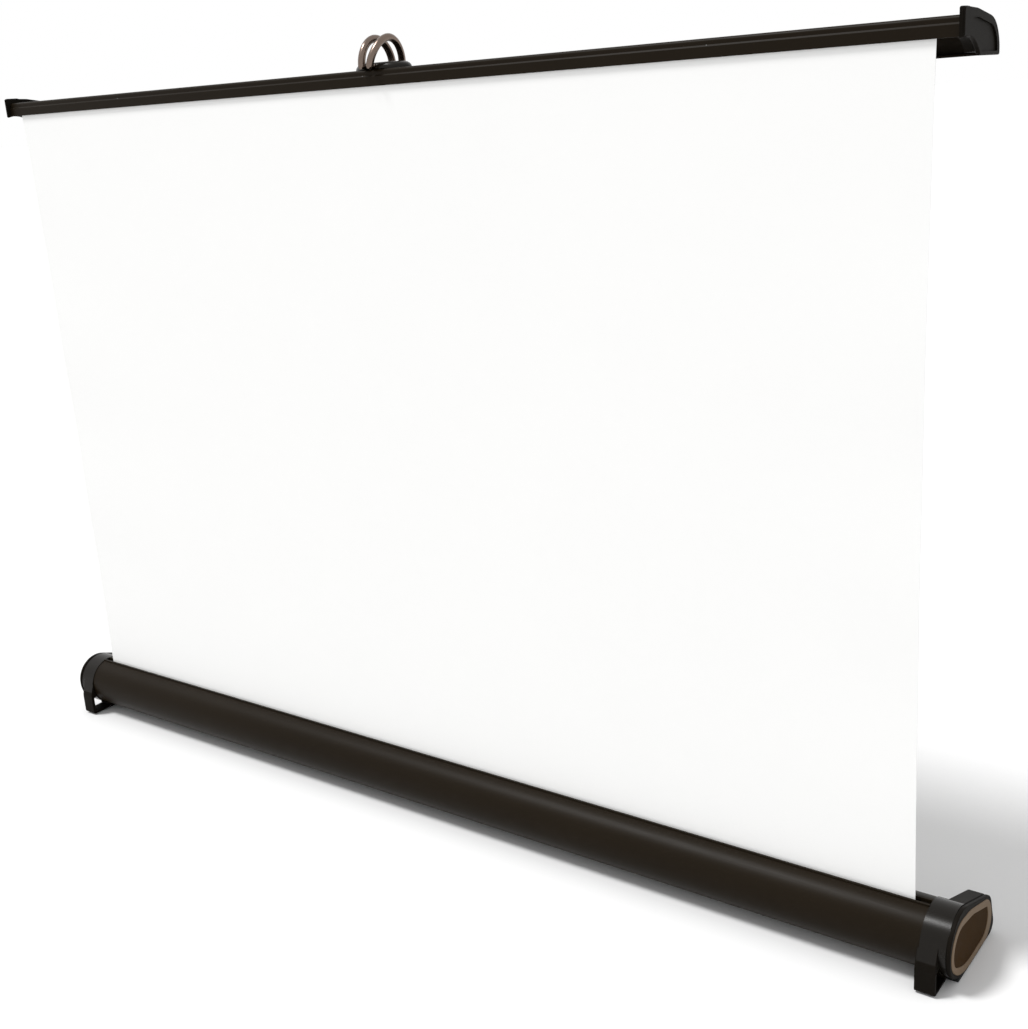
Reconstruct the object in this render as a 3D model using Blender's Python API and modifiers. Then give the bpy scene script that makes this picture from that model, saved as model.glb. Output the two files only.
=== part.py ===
"""Tabletop pull-up projector screen of the 40 inch class, standing open.

Metres.  X runs along the screen, Y runs back from the sheet's plane, Z is up from the table.
Right-hand pieces have side 1 and left-hand pieces side -1.  One empty carries all the pieces
and shifts them so that the model's origin is the middle of its footprint.
"""
import math

import bmesh
import bpy
from mathutils import Matrix, Vector

# The sheet
SHEET_WIDTH = 0.862
SHEET_DROP = 0.550
SHEET_THICKNESS = 0.00045

# The housing tube, its slot and the arm tray behind it
TUBE_RADIUS = 0.024
TUBE_WALL = 0.0016
TUBE_SETBACK = 0.0024
TUBE_HEIGHT = 0.0297
TUBE_MARGIN = 0.011
SLOT_FRONT = -0.0022
SLOT_REAR = 0.0026
LIP_RISE = 0.0007
LIP_THICKNESS = 0.0016
TRAY_REAR = 0.059
TRAY_HEIGHT = 0.019
TRAY_CORNER = 0.004
PORT_RADIUS = 0.0034
PORT_BORE = 0.0018
PORT_ANGLES = (190.0, 262.0)

# The end caps
HEAD_OFFSET = 0.0065
HEAD_WIDTH = 0.0147
HEAD_ANGLES = (69.5, 180.0, 255.0, 270.0, 378.7)
HEAD_TOP = 0.0245
HEAD_FRONT = 0.0251
HEAD_REAR = 0.0565
HEAD_ROUNDS = (0.0238, 0.0250, 0.0120, 0.0070, 0.0125)
HEAD_SOFTENING = 0.0012
BARREL_RADIUS = 0.0246
BARREL_INSET = 0.0021
SPIGOT_LENGTH = 0.008
COLLAR_MARGIN = 0.0011
FOOT_WIDTH = 0.0142
FOOT_WALL = 0.003
FOOT_FLOOR = 0.0020
FOOT_FRONT = -0.0270
PAD_THICKNESS = 0.0022
PAD_PROUD = 0.0010
REAR_PAD_LENGTH = 0.034
REAR_PAD_START = -0.0020
RING_INSETS = (0.0030, 0.0024, 0.0026, 0.0017, 0.0031)
RING_WIDTHS = (0.0060, 0.0055, 0.0056, 0.0053, 0.0087)
RING_ROUNDS = (0.0185, 0.0200, 0.0120, 0.0055, 0.0070)
INSET_ROUNDS = (0.0120, 0.0150, 0.0100, 0.0080, 0.0020)
RING_DEPTH = 0.0017
RING_PROUD = 0.0008
SCREW_RADIUS = 0.0015
SCREW_HEAD = 0.003
SCREW_LENGTH = 0.030

# The spring roller
ROLLER_RADIUS = 0.0085
ROLLER_WALL = 0.0012
ROLLER_MARGIN = 0.014
WRAP_RADIUS = 0.0093
AXLE_RADIUS = 0.003
BEARING_RADIUS = 0.0065
BEARING_LENGTH = 0.0054
SPRING_LENGTH = 0.110
SPRING_TURNS = 12
SPRING_WIRE = 0.0011

# The folding arms
PIVOT_SPREAD = 0.012
PIVOT_HEIGHT = 0.023
PIVOT_DROP = 0.012
ARM_LENGTH = 0.395
ARM_WIDTH = 0.014
ARM_THICKNESS = 0.003
BRACKET_THICKNESS = 0.002
BRACKET_WIDTH = 0.052
BRACKET_MARGIN = 0.009
PIN_RADIUS = 0.003
PIN_HEAD = 0.0055
HEAD_THICKNESS = 0.0014
WASHER_THICKNESS = 0.0008
GEAR_TEETH = 14
GEAR_BACKLASH = 0.00045
GEAR_ADDENDUM = 0.8
GEAR_DEDENDUM = 1.1
PRESSURE_ANGLE = 20.0

# The top rail
RAIL_OVERHANG = 0.006
RAIL_FRONT = -0.0045
RAIL_REAR = 0.0577
RAIL_RISE = 0.0147
RAIL_SKIRT = 0.010
RAIL_SLOPE = 6.0
RAIL_ROUND = 0.017
RAIL_INSET = 0.0025
RAIL_WALL = 0.0015
RAIL_HEM = 0.001
RAIL_CAP = 0.0026
RAIL_SPIGOT = 0.0065
CLAMP_THICKNESS = 0.002
CLAMP_HEIGHT = 0.008
CLAMP_GRIP = 0.005
CLAMP_SCREWS = 3

# The handle
HANDLE_X = 0.0092
HANDLE_Y = 0.0132
HANDLE_LENGTH = 0.0500
HANDLE_DEPTH = 0.0285
HANDLE_RISE = 0.0064
LOOP_X = (0.0031, 0.0116)
LOOP_HALF_WIDTHS = (0.0172, 0.0183)
LOOP_LEG = 0.0025
LOOP_RISES = (0.0200, 0.0206)
LOOP_RADIUS = 0.0026
LOOP_AXLE = 0.0016
LOOP_LEANS = (0.0, 13.0)

# Clearances and facets
GAP = 0.0003
RUN = 0.0005
ARC_STEP = math.radians(13)

# What follows from the sizes above
TUBE_END = SHEET_WIDTH / 2 + TUBE_MARGIN
HEAD_INNER = TUBE_END + HEAD_OFFSET
HEAD_OUTER = HEAD_INNER + HEAD_WIDTH
BARREL_OUTER = HEAD_OUTER - BARREL_INSET
ROLLER_END = TUBE_END - ROLLER_MARGIN
RAIL_END = TUBE_END + RAIL_OVERHANG
TUBE_CENTRE = Vector((TUBE_SETBACK, TUBE_HEIGHT))
SLOT_TOP = TUBE_HEIGHT + TUBE_RADIUS + LIP_RISE
TRAY_FLOOR = TUBE_HEIGHT - TUBE_RADIUS + TUBE_WALL
CAP_BOTTOM = PAD_PROUD
RAIL_LIP = SLOT_TOP + SHEET_DROP
RAIL_BOTTOM = RAIL_LIP - RAIL_SKIRT
RAIL_CREST = RAIL_LIP + RAIL_RISE
TRAVEL = RAIL_LIP - (TUBE_HEIGHT + BARREL_RADIUS + RUN)
ROLLER_Y = SHEET_THICKNESS / 2 + GAP + WRAP_RADIUS
RAIL_PIVOT = RAIL_LIP - PIVOT_DROP
ARM_ANGLE = math.asin((RAIL_PIVOT - PIVOT_HEIGHT) / (2 * ARM_LENGTH))
ELBOW_X = PIVOT_SPREAD + ARM_LENGTH * math.cos(ARM_ANGLE)
ELBOW_Z = (RAIL_PIVOT + PIVOT_HEIGHT) / 2
BASE_PLATE_Y = TUBE_SETBACK + TUBE_RADIUS + HEAD_THICKNESS + 2 * GAP + 0.0002
LOWER_ARM_Y = BASE_PLATE_Y + BRACKET_THICKNESS + GAP
UPPER_ARM_Y = LOWER_ARM_Y + ARM_THICKNESS + GAP
RAIL_PLATE_Y = UPPER_ARM_Y + ARM_THICKNESS + GAP
GEAR_MODULE = 2 * PIVOT_SPREAD / GEAR_TEETH
GEAR_TIP = PIVOT_SPREAD + GEAR_ADDENDUM * GEAR_MODULE
GEAR_ROOT = PIVOT_SPREAD - GEAR_DEDENDUM * GEAR_MODULE
FLANGE_SCREW_Y = BASE_PLATE_Y - 0.0045
FLANGE_SCREW_X = 0.019
HANDLE_SCREW_X = 0.014


def fresh_collection(name):
    collection = bpy.data.collections.new(name)
    bpy.context.scene.collection.children.link(collection)
    return collection


def linear(channel):
    return channel / 12.92 if channel <= 0.04045 else ((channel + 0.055) / 1.055) ** 2.4


def finish(name, colour, roughness, metallic=0.0):
    """Principled material from a colour written as sRGB hex."""
    material = bpy.data.materials.new(name)
    material.use_nodes = True
    shader = material.node_tree.nodes["Principled BSDF"]
    channels = [int(colour[i:i + 2], 16) / 255 for i in (0, 2, 4)]
    shader.inputs["Base Color"].default_value = (*[linear(c) for c in channels], 1.0)
    shader.inputs["Roughness"].default_value = roughness
    shader.inputs["Metallic"].default_value = metallic
    return material


def make_finishes():
    return {
        "black_aluminium": finish("black_aluminium", "23211E", 0.38, 0.6),
        "black_plastic": finish("black_plastic", "1A1714", 0.42),
        "pale_trim": finish("pale_trim", "877864", 0.5),
        "dark_inset": finish("dark_inset", "2B2118", 0.55),
        "white_sheet": finish("white_sheet", "F2F2F0", 0.85),
        "rubber": finish("rubber", "1B1B1B", 0.8),
        "grey_steel": finish("grey_steel", "8E8F90", 0.35, 1.0),
        "black_steel": finish("black_steel", "1E1E1F", 0.45, 0.7),
        "polished_wire": finish("polished_wire", "9A8F88", 0.22, 1.0),
        "white_plastic": finish("white_plastic", "D8D6D0", 0.5),
    }


def clean_mesh(mesh):
    """Welds a mesh, points its faces outwards and shades its round sides smooth."""
    shape = bmesh.new()
    shape.from_mesh(mesh)
    bmesh.ops.remove_doubles(shape, verts=shape.verts, dist=1e-6)
    bmesh.ops.recalc_face_normals(shape, faces=shape.faces)
    shape.to_mesh(mesh)
    shape.free()
    mesh.shade_smooth()
    mesh.set_sharp_from_angle(angle=math.radians(35))
    return mesh


def evaluated_mesh(holder):
    """Mesh of a helper object with its modifiers applied; the helper is removed."""
    bpy.context.scene.collection.objects.link(holder)
    graph = bpy.context.evaluated_depsgraph_get()
    mesh = bpy.data.meshes.new_from_object(holder.evaluated_get(graph))
    mesh.transform(holder.matrix_world)
    bpy.data.objects.remove(holder)
    return clean_mesh(mesh)


def outline_mesh(loops, depth):
    """Flat outline in XY, the first loop with the others as holes, thickened along Z."""
    curve = bpy.data.curves.new("outline", "CURVE")
    curve.dimensions = "2D"
    curve.fill_mode = "BOTH"
    curve.extrude = depth / 2
    for loop in loops:
        spline = curve.splines.new("POLY")
        spline.points.add(len(loop) - 1)
        for point, (u, v) in zip(spline.points, loop):
            point.co = (u, v, 0, 1)
        spline.use_cyclic_u = True
    return evaluated_mesh(bpy.data.objects.new("outline", curve))


def wire_mesh(points, radius, sides_level=2):
    """Round wire along the points, with filled ends."""
    curve = bpy.data.curves.new("wire", "CURVE")
    curve.dimensions = "3D"
    curve.bevel_depth = radius
    curve.bevel_resolution = sides_level
    curve.use_fill_caps = True
    spline = curve.splines.new("POLY")
    spline.points.add(len(points) - 1)
    for point, place in zip(spline.points, points):
        point.co = (*place, 1)
    return evaluated_mesh(bpy.data.objects.new("wire", curve))


def turned_mesh(profile, steps=20):
    """Solid turned about Z; the profile's (radius, height) points run from its top down."""
    mesh = bpy.data.meshes.new("turned")
    edges = [(i, i + 1) for i in range(len(profile) - 1)]
    mesh.from_pydata([(radius, 0, height) for radius, height in profile], edges, [])
    holder = bpy.data.objects.new("turned", mesh)
    screw = holder.modifiers.new("Turn", "SCREW")
    screw.steps = steps
    screw.render_steps = steps
    screw.use_merge_vertices = True
    screw.merge_threshold = 1e-5
    return evaluated_mesh(holder)


def box_mesh(low, high):
    shape = bmesh.new()
    bmesh.ops.create_cube(shape, size=1.0)
    low, high = Vector(low), Vector(high)
    bmesh.ops.scale(shape, vec=high - low, verts=shape.verts)
    bmesh.ops.translate(shape, vec=(low + high) / 2, verts=shape.verts)
    mesh = bpy.data.meshes.new("box")
    shape.to_mesh(mesh)
    shape.free()
    return mesh


def rod_mesh(radius, start, end, sides=24):
    """Plain round rod from one point to another."""
    start, end = Vector(start), Vector(end)
    shape = bmesh.new()
    bmesh.ops.create_cone(shape, cap_ends=True, segments=sides, radius1=radius, radius2=radius,
                          depth=(end - start).length)
    mesh = bpy.data.meshes.new("rod")
    shape.to_mesh(mesh)
    shape.free()
    turn = (end - start).to_track_quat("Z", "Y").to_matrix().to_4x4()
    mesh.transform(Matrix.Translation((start + end) / 2) @ turn)
    return clean_mesh(mesh)


def placed(mesh, matrix):
    copy = mesh.copy()
    copy.transform(matrix)
    return copy


def towards(axis, point):
    """Matrix that takes local Z to the axis and the local origin to the point."""
    turn = Vector(axis).to_track_quat("Z", "Y").to_matrix().to_4x4()
    return Matrix.Translation(point) @ turn


def section_mesh(loops, x_start, x_end):
    """A cross section drawn in (y, z), run along X."""
    low, high = sorted((x_start, x_end))
    mesh = outline_mesh(loops, high - low)
    frame = Matrix(((0, 0, 1, (low + high) / 2), (1, 0, 0, 0), (0, 1, 0, 0), (0, 0, 0, 1)))
    mesh.transform(frame)
    return mesh


def shrunk(outline, depth):
    """Convex outline moved inwards by a depth, point by point."""
    count = len(outline)
    area = sum(outline[i - 1].cross(outline[i]) for i in range(count))
    turn = 1 if area > 0 else -1
    moved = []
    for index, point in enumerate(outline):
        before = (point - outline[index - 1]).normalized()
        after = (outline[(index + 1) % count] - point).normalized()
        normal = turn * Vector((-(before + after).y, (before + after).x)).normalized()
        moved.append(point + normal * depth / math.cos(before.angle(after) / 2))
    return moved


def softened_mesh(outline, x_start, x_end, width):
    """Convex cross section run along X, with both of its rims rounded."""
    turn = 1 if x_end > x_start else -1
    rim = []
    for degrees in (90, 45, 0):
        angle = math.radians(degrees)
        rim.append((width * (1 - math.sin(angle)), width * (1 - math.cos(angle))))
    levels = [(x_start + turn * along, inwards) for along, inwards in rim]
    levels += [(x_end - turn * along, inwards) for along, inwards in reversed(rim)]
    shape = bmesh.new()
    rings = []
    for x, inwards in levels:
        rings.append([shape.verts.new((x, y, z)) for y, z in shrunk(outline, inwards)])
    for first, second in zip(rings, rings[1:]):
        for index in range(len(first)):
            shape.faces.new((first[index - 1], first[index], second[index], second[index - 1]))
    shape.faces.new(rings[0])
    shape.faces.new(rings[-1])
    mesh = bpy.data.meshes.new("softened")
    shape.to_mesh(mesh)
    shape.free()
    return clean_mesh(mesh)


def plate_mesh(loops, y_start, thickness):
    """A plate drawn in (x, z), thickened back along Y."""
    mesh = outline_mesh(loops, thickness)
    middle = y_start + thickness / 2
    frame = Matrix(((1, 0, 0, 0), (0, 0, -1, middle), (0, 1, 0, 0), (0, 0, 0, 1)))
    mesh.transform(frame)
    return mesh


def piece(name, mesh, material, pivot=(0, 0, 0)):
    """A finished part: its origin goes to the pivot, and its shape stays where it is."""
    mesh.transform(Matrix.Translation(-Vector(pivot)))
    mesh.name = name
    mesh.materials.clear()
    mesh.materials.append(FINISHES[material])
    item = bpy.data.objects.new(name, mesh)
    item.location = pivot
    item.parent = assembly
    parts.objects.link(item)
    return item


def numbered(name, meshes, material):
    """Several equal small parts, each an object of its own."""
    for index, mesh in enumerate(meshes):
        piece(f"{name}_{index + 1}", mesh, material)


def tool(target, mesh, operation):
    """Joins or cuts the target with a helper solid, which stays in the cutters collection."""
    helper = bpy.data.objects.new(target.name + "_" + operation.lower(), mesh)
    helper.parent = assembly
    helper.hide_render = True
    helper.display_type = "WIRE"
    cutters.objects.link(helper)
    step = target.modifiers.new(operation.title(), "BOOLEAN")
    step.operation = operation
    step.object = helper


def cut(target, mesh):
    tool(target, mesh, "DIFFERENCE")


def fuse(target, mesh):
    tool(target, mesh, "UNION")


def soften(item, width, segments=2):
    """Small rounding of the sharp edges."""
    bevel = item.modifiers.new("Bevel", "BEVEL")
    bevel.width = width
    bevel.segments = segments
    bevel.limit_method = "ANGLE"
    bevel.angle_limit = math.radians(50)


def arc(centre, radius, start, end):
    """Points on an arc, angles in degrees, both ends included."""
    sweep = math.radians(end - start)
    steps = max(2, math.ceil(abs(sweep) / ARC_STEP))
    points = []
    for index in range(steps + 1):
        angle = math.radians(start) + sweep * index / steps
        points.append(Vector((centre[0] + radius * math.cos(angle), centre[1] + radius * math.sin(angle))))
    return points


def circle(centre, radius, sides=20):
    angles = [math.tau * index / sides for index in range(sides)]
    return [(centre[0] + radius * math.cos(a), centre[1] + radius * math.sin(a)) for a in angles]


def rounded(corners):
    """Closed outline through (point, radius) corners; a radius too large for its sides shrinks."""
    points = [Vector(corner) for corner, radius in corners]
    count = len(points)
    halves, cuts = [], []
    for index, (corner, radius) in enumerate(corners):
        before = points[index - 1] - points[index]
        after = points[(index + 1) % count] - points[index]
        halves.append(before.angle(after) / 2)
        cuts.append(radius / math.tan(halves[-1]))
    shares = [1.0] * count
    for index in range(count):
        after = (index + 1) % count
        side = (points[after] - points[index]).length
        share = side / max(cuts[index] + cuts[after], side)
        shares[index] = min(shares[index], share)
        shares[after] = min(shares[after], share)
    outline = []
    for index, corner in enumerate(points):
        cut_back = cuts[index] * shares[index]
        if cut_back <= 0:
            outline.append(corner)
            continue
        before = (points[index - 1] - corner).normalized()
        after = (points[(index + 1) % count] - corner).normalized()
        radius = cut_back * math.tan(halves[index])
        centre = corner + (before + after).normalized() * radius / math.sin(halves[index])
        first = corner + before * cut_back - centre
        last = corner + after * cut_back - centre
        start = math.degrees(math.atan2(first.y, first.x))
        sweep = math.degrees(math.atan2(first.x * last.y - first.y * last.x, first.dot(last)))
        outline.extend(arc(centre, radius, start, start + sweep))
    return [p for i, p in enumerate(outline) if (p - outline[i - 1]).length > 1e-5]


def meeting(side_a, side_b, centre):
    """Corner where two sides meet; a side is (outward angle in degrees, distance from centre)."""
    (angle_a, far_a), (angle_b, far_b) = side_a, side_b
    a, b = math.radians(angle_a), math.radians(angle_b)
    spread = math.sin(b - a)
    y = (far_a * math.sin(b) - far_b * math.sin(a)) / spread
    z = (far_b * math.cos(a) - far_a * math.cos(b)) / spread
    return centre + Vector((y, z))


def head_outline(insets=(0.0,) * 5, rounds=HEAD_ROUNDS, growth=0.0):
    """End cap seen along X: round over the tube, sloping top, leaning back, flat bottom."""
    reaches = (HEAD_TOP, HEAD_FRONT, HEAD_FRONT, TUBE_HEIGHT - CAP_BOTTOM, HEAD_REAR)
    sides = [(angle, reach - inset + growth) for angle, reach, inset in zip(HEAD_ANGLES, reaches, insets)]
    corners = []
    for index, radius in enumerate(rounds):
        after = sides[(index + 1) % len(sides)]
        corners.append((meeting(sides[index], after, TUBE_CENTRE), radius + growth))
    return rounded(corners)


def ring_outline(growth=0.0):
    return head_outline(RING_INSETS, RING_ROUNDS, growth)


def inset_outline(growth=0.0):
    insets = [inset + width for inset, width in zip(RING_INSETS, RING_WIDTHS)]
    return head_outline(insets, INSET_ROUNDS, growth)


def tube_points():
    """Screw port centres inside the housing section."""
    reach = TUBE_RADIUS - TUBE_WALL - PORT_RADIUS + GAP
    ports = []
    for angle in PORT_ANGLES:
        turn = math.radians(angle)
        ports.append(TUBE_CENTRE + reach * Vector((math.cos(turn), math.sin(turn))))
    corner = PORT_RADIUS - GAP
    ports.append(Vector((TRAY_REAR - TUBE_WALL - corner, TRAY_FLOOR + corner)))
    return ports


def housing_outline():
    """Tube with a slot on top, joined to a low tray that holds the folded arms."""
    inner = TUBE_RADIUS - TUBE_WALL

    def on_tube(y, radius):
        return math.degrees(math.acos((y - TUBE_SETBACK) / radius))

    floor_bottom = TRAY_FLOOR - TUBE_WALL
    front_lip = [(SLOT_FRONT, SLOT_TOP), (SLOT_FRONT - LIP_THICKNESS, SLOT_TOP)]
    rear_lip = [(SLOT_REAR + LIP_THICKNESS, SLOT_TOP), (SLOT_REAR, SLOT_TOP)]
    corner_centre = (TRAY_REAR - TRAY_CORNER, floor_bottom + TRAY_CORNER)
    crossing = math.degrees(math.asin((TRAY_FLOOR - TUBE_HEIGHT) / TUBE_RADIUS))
    outline = [Vector(p) for p in front_lip]
    outline += arc(TUBE_CENTRE, TUBE_RADIUS, on_tube(SLOT_FRONT - LIP_THICKNESS, TUBE_RADIUS), 270)
    outline += arc(corner_centre, TRAY_CORNER, 270, 360)
    outline += [Vector((TRAY_REAR, TRAY_HEIGHT)), Vector((TRAY_REAR - TUBE_WALL, TRAY_HEIGHT))]
    outline += arc(corner_centre, TRAY_CORNER - TUBE_WALL, 360, 270)
    outline += arc(TUBE_CENTRE, TUBE_RADIUS, crossing, on_tube(SLOT_REAR + LIP_THICKNESS, TUBE_RADIUS))
    outline += [Vector(p) for p in rear_lip]
    outline += arc(TUBE_CENTRE, inner, on_tube(SLOT_REAR, inner), on_tube(SLOT_FRONT, inner) - 360)
    return outline


def rail_roof(y, inset=0.0):
    """Height of the rail's sloping roof, measured on the line that the inset shifts inwards."""
    slope = math.radians(RAIL_SLOPE)
    return RAIL_CREST - (y - RAIL_FRONT) * math.tan(slope) - inset / math.cos(slope)


def rail_top_corners(inset, front, front_round):
    """The two upper corners of the rail's profile, front first."""
    rear = RAIL_REAR - inset
    return [((front, rail_roof(front, inset)), front_round),
            ((rear, rail_roof(rear, inset)), RAIL_ROUND - inset)]


def gear_flank(radius):
    """Half of the tooth's angle at a radius, from the involute."""
    pressure = math.radians(PRESSURE_ANGLE)
    base = PIVOT_SPREAD * math.cos(pressure)
    at_pitch = math.pi / (2 * GEAR_TEETH) - GEAR_BACKLASH / (2 * PIVOT_SPREAD)
    here = math.acos(min(1.0, base / max(radius, base)))
    return at_pitch + (math.tan(pressure) - pressure) - (math.tan(here) - here)


def gear_points(phase, clear_angle):
    """Tooth outline about the origin, leaving out the sector that the arm's bar covers."""
    levels = [GEAR_ROOT + (GEAR_TIP - GEAR_ROOT) * share for share in (0.0, 0.5, 1.0)]
    points = []
    for tooth in range(GEAR_TEETH):
        middle = phase + math.tau * tooth / GEAR_TEETH
        rise = [(radius, middle - gear_flank(radius)) for radius in levels]
        fall = [(radius, middle + gear_flank(radius)) for radius in reversed(levels)]
        points += [(radius, angle % math.tau) for radius, angle in rise + fall]
    points.sort(key=lambda point: point[1])
    kept = [(r, a) for r, a in points if clear_angle < a < math.tau - clear_angle]
    return [Vector((r * math.cos(a), r * math.sin(a))) for r, a in kept]


def arm_outline(phase):
    """Flat bar along +x with a gear round its pivot end and a round elbow end."""
    half = ARM_WIDTH / 2
    neck = math.asin(half / GEAR_ROOT)
    start = GEAR_ROOT * math.cos(neck)
    outline = [Vector((start, -half))]
    outline += arc((ARM_LENGTH, 0), half, -90, 90)
    outline += [Vector((start, half))]
    return outline + gear_points(phase, neck + math.radians(4))


def arm_mesh(side, direction, pivot_z, contact, y_start):
    """Arm from its geared pivot towards the elbow; the left one meshes half a tooth along."""
    phase = contact if side > 0 else contact + math.pi / GEAR_TEETH
    loops = [arm_outline(phase), circle((0, 0), PIN_RADIUS + GAP), circle((ARM_LENGTH, 0), PIN_RADIUS + GAP)]
    turned = []
    for loop in loops:
        turned.append([])
        for u, v in loop:
            x = u * math.cos(direction) - v * math.sin(direction)
            z = u * math.sin(direction) + v * math.cos(direction)
            turned[-1].append((side * (PIVOT_SPREAD + x), pivot_z + z))
    return plate_mesh(turned, y_start, ARM_THICKNESS)


def rivet_mesh(shank, head, lengths):
    """Shank with two flat heads, from lengths (first head, shank, second head), about Z."""
    first, middle, last = lengths
    top = first + middle + last
    profile = [(0, top), (head * 0.8, top), (head, top - last * 0.5), (head, top - last),
               (shank, top - last), (shank, first), (head, first), (head, first * 0.5),
               (head * 0.8, 0), (0, 0)]
    return turned_mesh(profile, 12)


def screw_mesh(shank, head, head_height, length):
    """Screw along Z, its head at the top and its tip at zero."""
    top = length + head_height
    profile = [(0, top), (head * 0.75, top), (head, top - head_height * 0.4), (head, length),
               (shank, length), (shank, shank * 0.6), (shank * 0.4, 0), (0, 0)]
    return turned_mesh(profile, 8)


def build_housing():
    mesh = section_mesh([housing_outline()], -TUBE_END, TUBE_END)
    housing = piece("housing_tube", mesh, "black_aluminium")
    for port in tube_points():
        fuse(housing, section_mesh([circle(port, PORT_RADIUS, 14)], -TUBE_END, TUBE_END))
    for port in tube_points():
        bore = (TUBE_END + GAP)
        cut(housing, section_mesh([circle(port, PORT_BORE, 12)], -bore, bore))
    for side in (-1, 1):
        x = side * FLANGE_SCREW_X
        hole = rod_mesh(SCREW_RADIUS + GAP, (x, FLANGE_SCREW_Y, 0), (x, FLANGE_SCREW_Y, 2 * TRAY_FLOOR), 12)
        cut(housing, hole)


def foot_outlines():
    """Hooked foot under the barrel, and the curved window that opens it sideways."""
    front, low = FOOT_FRONT, CAP_BOTTOM + 0.0002
    root = TUBE_HEIGHT + BARREL_RADIUS * 0.35
    body = rounded([((TUBE_SETBACK - 0.020, root), 0.0), ((front, TUBE_HEIGHT), 0.006),
                    ((front, low), 0.0022), ((TUBE_SETBACK + 0.012, low), 0.0),
                    ((TUBE_SETBACK + 0.012, TUBE_HEIGHT - 0.015), 0.0), (tuple(TUBE_CENTRE), 0.0)])
    inner = BARREL_RADIUS - GAP
    window = [Vector((front + FOOT_WALL, low + FOOT_FLOOR)),
              Vector((TUBE_SETBACK - 0.009, low + FOOT_FLOOR))]
    window += reversed(arc(TUBE_CENTRE, inner + 2 * GAP, 205, 248))
    window += [Vector((front + FOOT_WALL, TUBE_HEIGHT - BARREL_RADIUS * 0.47))]
    return body, window


def pad_boxes(side):
    """Low and high corners of the rubber pads under the hooked foot and under the head."""
    foot = sorted((side * (TUBE_END + GAP + 0.0018), side * (TUBE_END + GAP + FOOT_WIDTH - 0.0018)))
    heel = sorted((side * (HEAD_INNER + 0.0015), side * (HEAD_OUTER - 0.0006)))
    rear = REAR_PAD_START + REAR_PAD_LENGTH
    front_box = (Vector((foot[0], FOOT_FRONT + 0.0035, 0)), Vector((foot[1], FOOT_FRONT + 0.0155, PAD_THICKNESS)))
    rear_box = (Vector((heel[0], REAR_PAD_START, 0)), Vector((heel[1], rear, PAD_THICKNESS)))
    return front_box, rear_box


def build_end_cap(side, label):
    def span(start, end):
        return side * start, side * end

    head = softened_mesh(head_outline(), *span(HEAD_INNER, HEAD_OUTER), HEAD_SOFTENING)
    cap = piece("end_cap_" + label, head, "black_plastic")
    fuse(cap, rod_mesh(BARREL_RADIUS, (side * TUBE_END, *TUBE_CENTRE), (side * BARREL_OUTER, *TUBE_CENTRE), 40))
    collar = rounded([((TUBE_SETBACK, TRAY_FLOOR - TUBE_WALL - COLLAR_MARGIN), 0.0),
                      ((TRAY_REAR + COLLAR_MARGIN, TRAY_FLOOR - TUBE_WALL - COLLAR_MARGIN), TRAY_CORNER),
                      ((TRAY_REAR + COLLAR_MARGIN, TRAY_HEIGHT + COLLAR_MARGIN), 0.002),
                      ((TUBE_SETBACK, TRAY_HEIGHT + COLLAR_MARGIN), 0.0)])
    fuse(cap, section_mesh([collar], *span(TUBE_END + GAP, HEAD_INNER + 0.002)))
    spigot = TUBE_RADIUS - TUBE_WALL - GAP
    inner_end = side * (TUBE_END - SPIGOT_LENGTH)
    fuse(cap, rod_mesh(spigot, (inner_end, *TUBE_CENTRE), (side * (TUBE_END + 0.004), *TUBE_CENTRE), 36))
    foot, window = foot_outlines()
    foot_start = TUBE_END + GAP
    fuse(cap, section_mesh([foot], *span(foot_start, foot_start + FOOT_WIDTH)))
    cut(cap, section_mesh([window], *span(foot_start - 0.001, foot_start + FOOT_WIDTH + 0.001)))
    cut(cap, section_mesh([ring_outline(GAP)], *span(HEAD_OUTER - RING_DEPTH, HEAD_OUTER + 0.001)))
    for low, high in pad_boxes(side):
        room = Vector((GAP, GAP, GAP))
        cut(cap, box_mesh(low - room, high + room))
    pocket = (side * (TUBE_END - SPIGOT_LENGTH - 0.001), side * (TUBE_END - SPIGOT_LENGTH + BEARING_LENGTH + 2 * GAP))
    cut(cap, rod_mesh(BEARING_RADIUS + GAP, (pocket[0], ROLLER_Y, TUBE_HEIGHT), (pocket[1], ROLLER_Y, TUBE_HEIGHT)))
    for port in tube_points():
        clear = section_mesh([circle(port, PORT_RADIUS + GAP, 12)],
                             *span(TUBE_END - SPIGOT_LENGTH - 0.001, TUBE_END + GAP))
        cut(cap, clear)
        cut(cap, section_mesh([circle(port, SCREW_RADIUS + GAP, 10)], *span(TUBE_END, HEAD_OUTER)))
        sink = HEAD_OUTER - RING_DEPTH - 2 * GAP - HEAD_THICKNESS
        cut(cap, section_mesh([circle(port, SCREW_HEAD + GAP, 12)], *span(sink, HEAD_OUTER)))


def build_cap_trim(side, label):
    outer_face = HEAD_OUTER + RING_PROUD
    back = HEAD_OUTER - RING_DEPTH + GAP
    ring = section_mesh([ring_outline(), inset_outline()], side * back, side * outer_face)
    piece("trim_ring_" + label, ring, "pale_trim")
    plate = section_mesh([inset_outline(-GAP)], side * back, side * (HEAD_OUTER + 0.0002))
    piece("end_inset_" + label, plate, "dark_inset")
    sink = HEAD_OUTER - RING_DEPTH - GAP - HEAD_THICKNESS
    screw = screw_mesh(SCREW_RADIUS, SCREW_HEAD, HEAD_THICKNESS, SCREW_LENGTH)
    copies = []
    for port in tube_points():
        tip = Vector((side * (sink - SCREW_LENGTH), *port))
        copies.append(placed(screw, towards((side, 0, 0), tip)))
    numbered("cap_screw_" + label, copies, "grey_steel")
    front_box, rear_box = pad_boxes(side)
    piece("front_pad_" + label, box_mesh(*front_box), "rubber")
    piece("rear_pad_" + label, box_mesh(*rear_box), "rubber")


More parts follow.
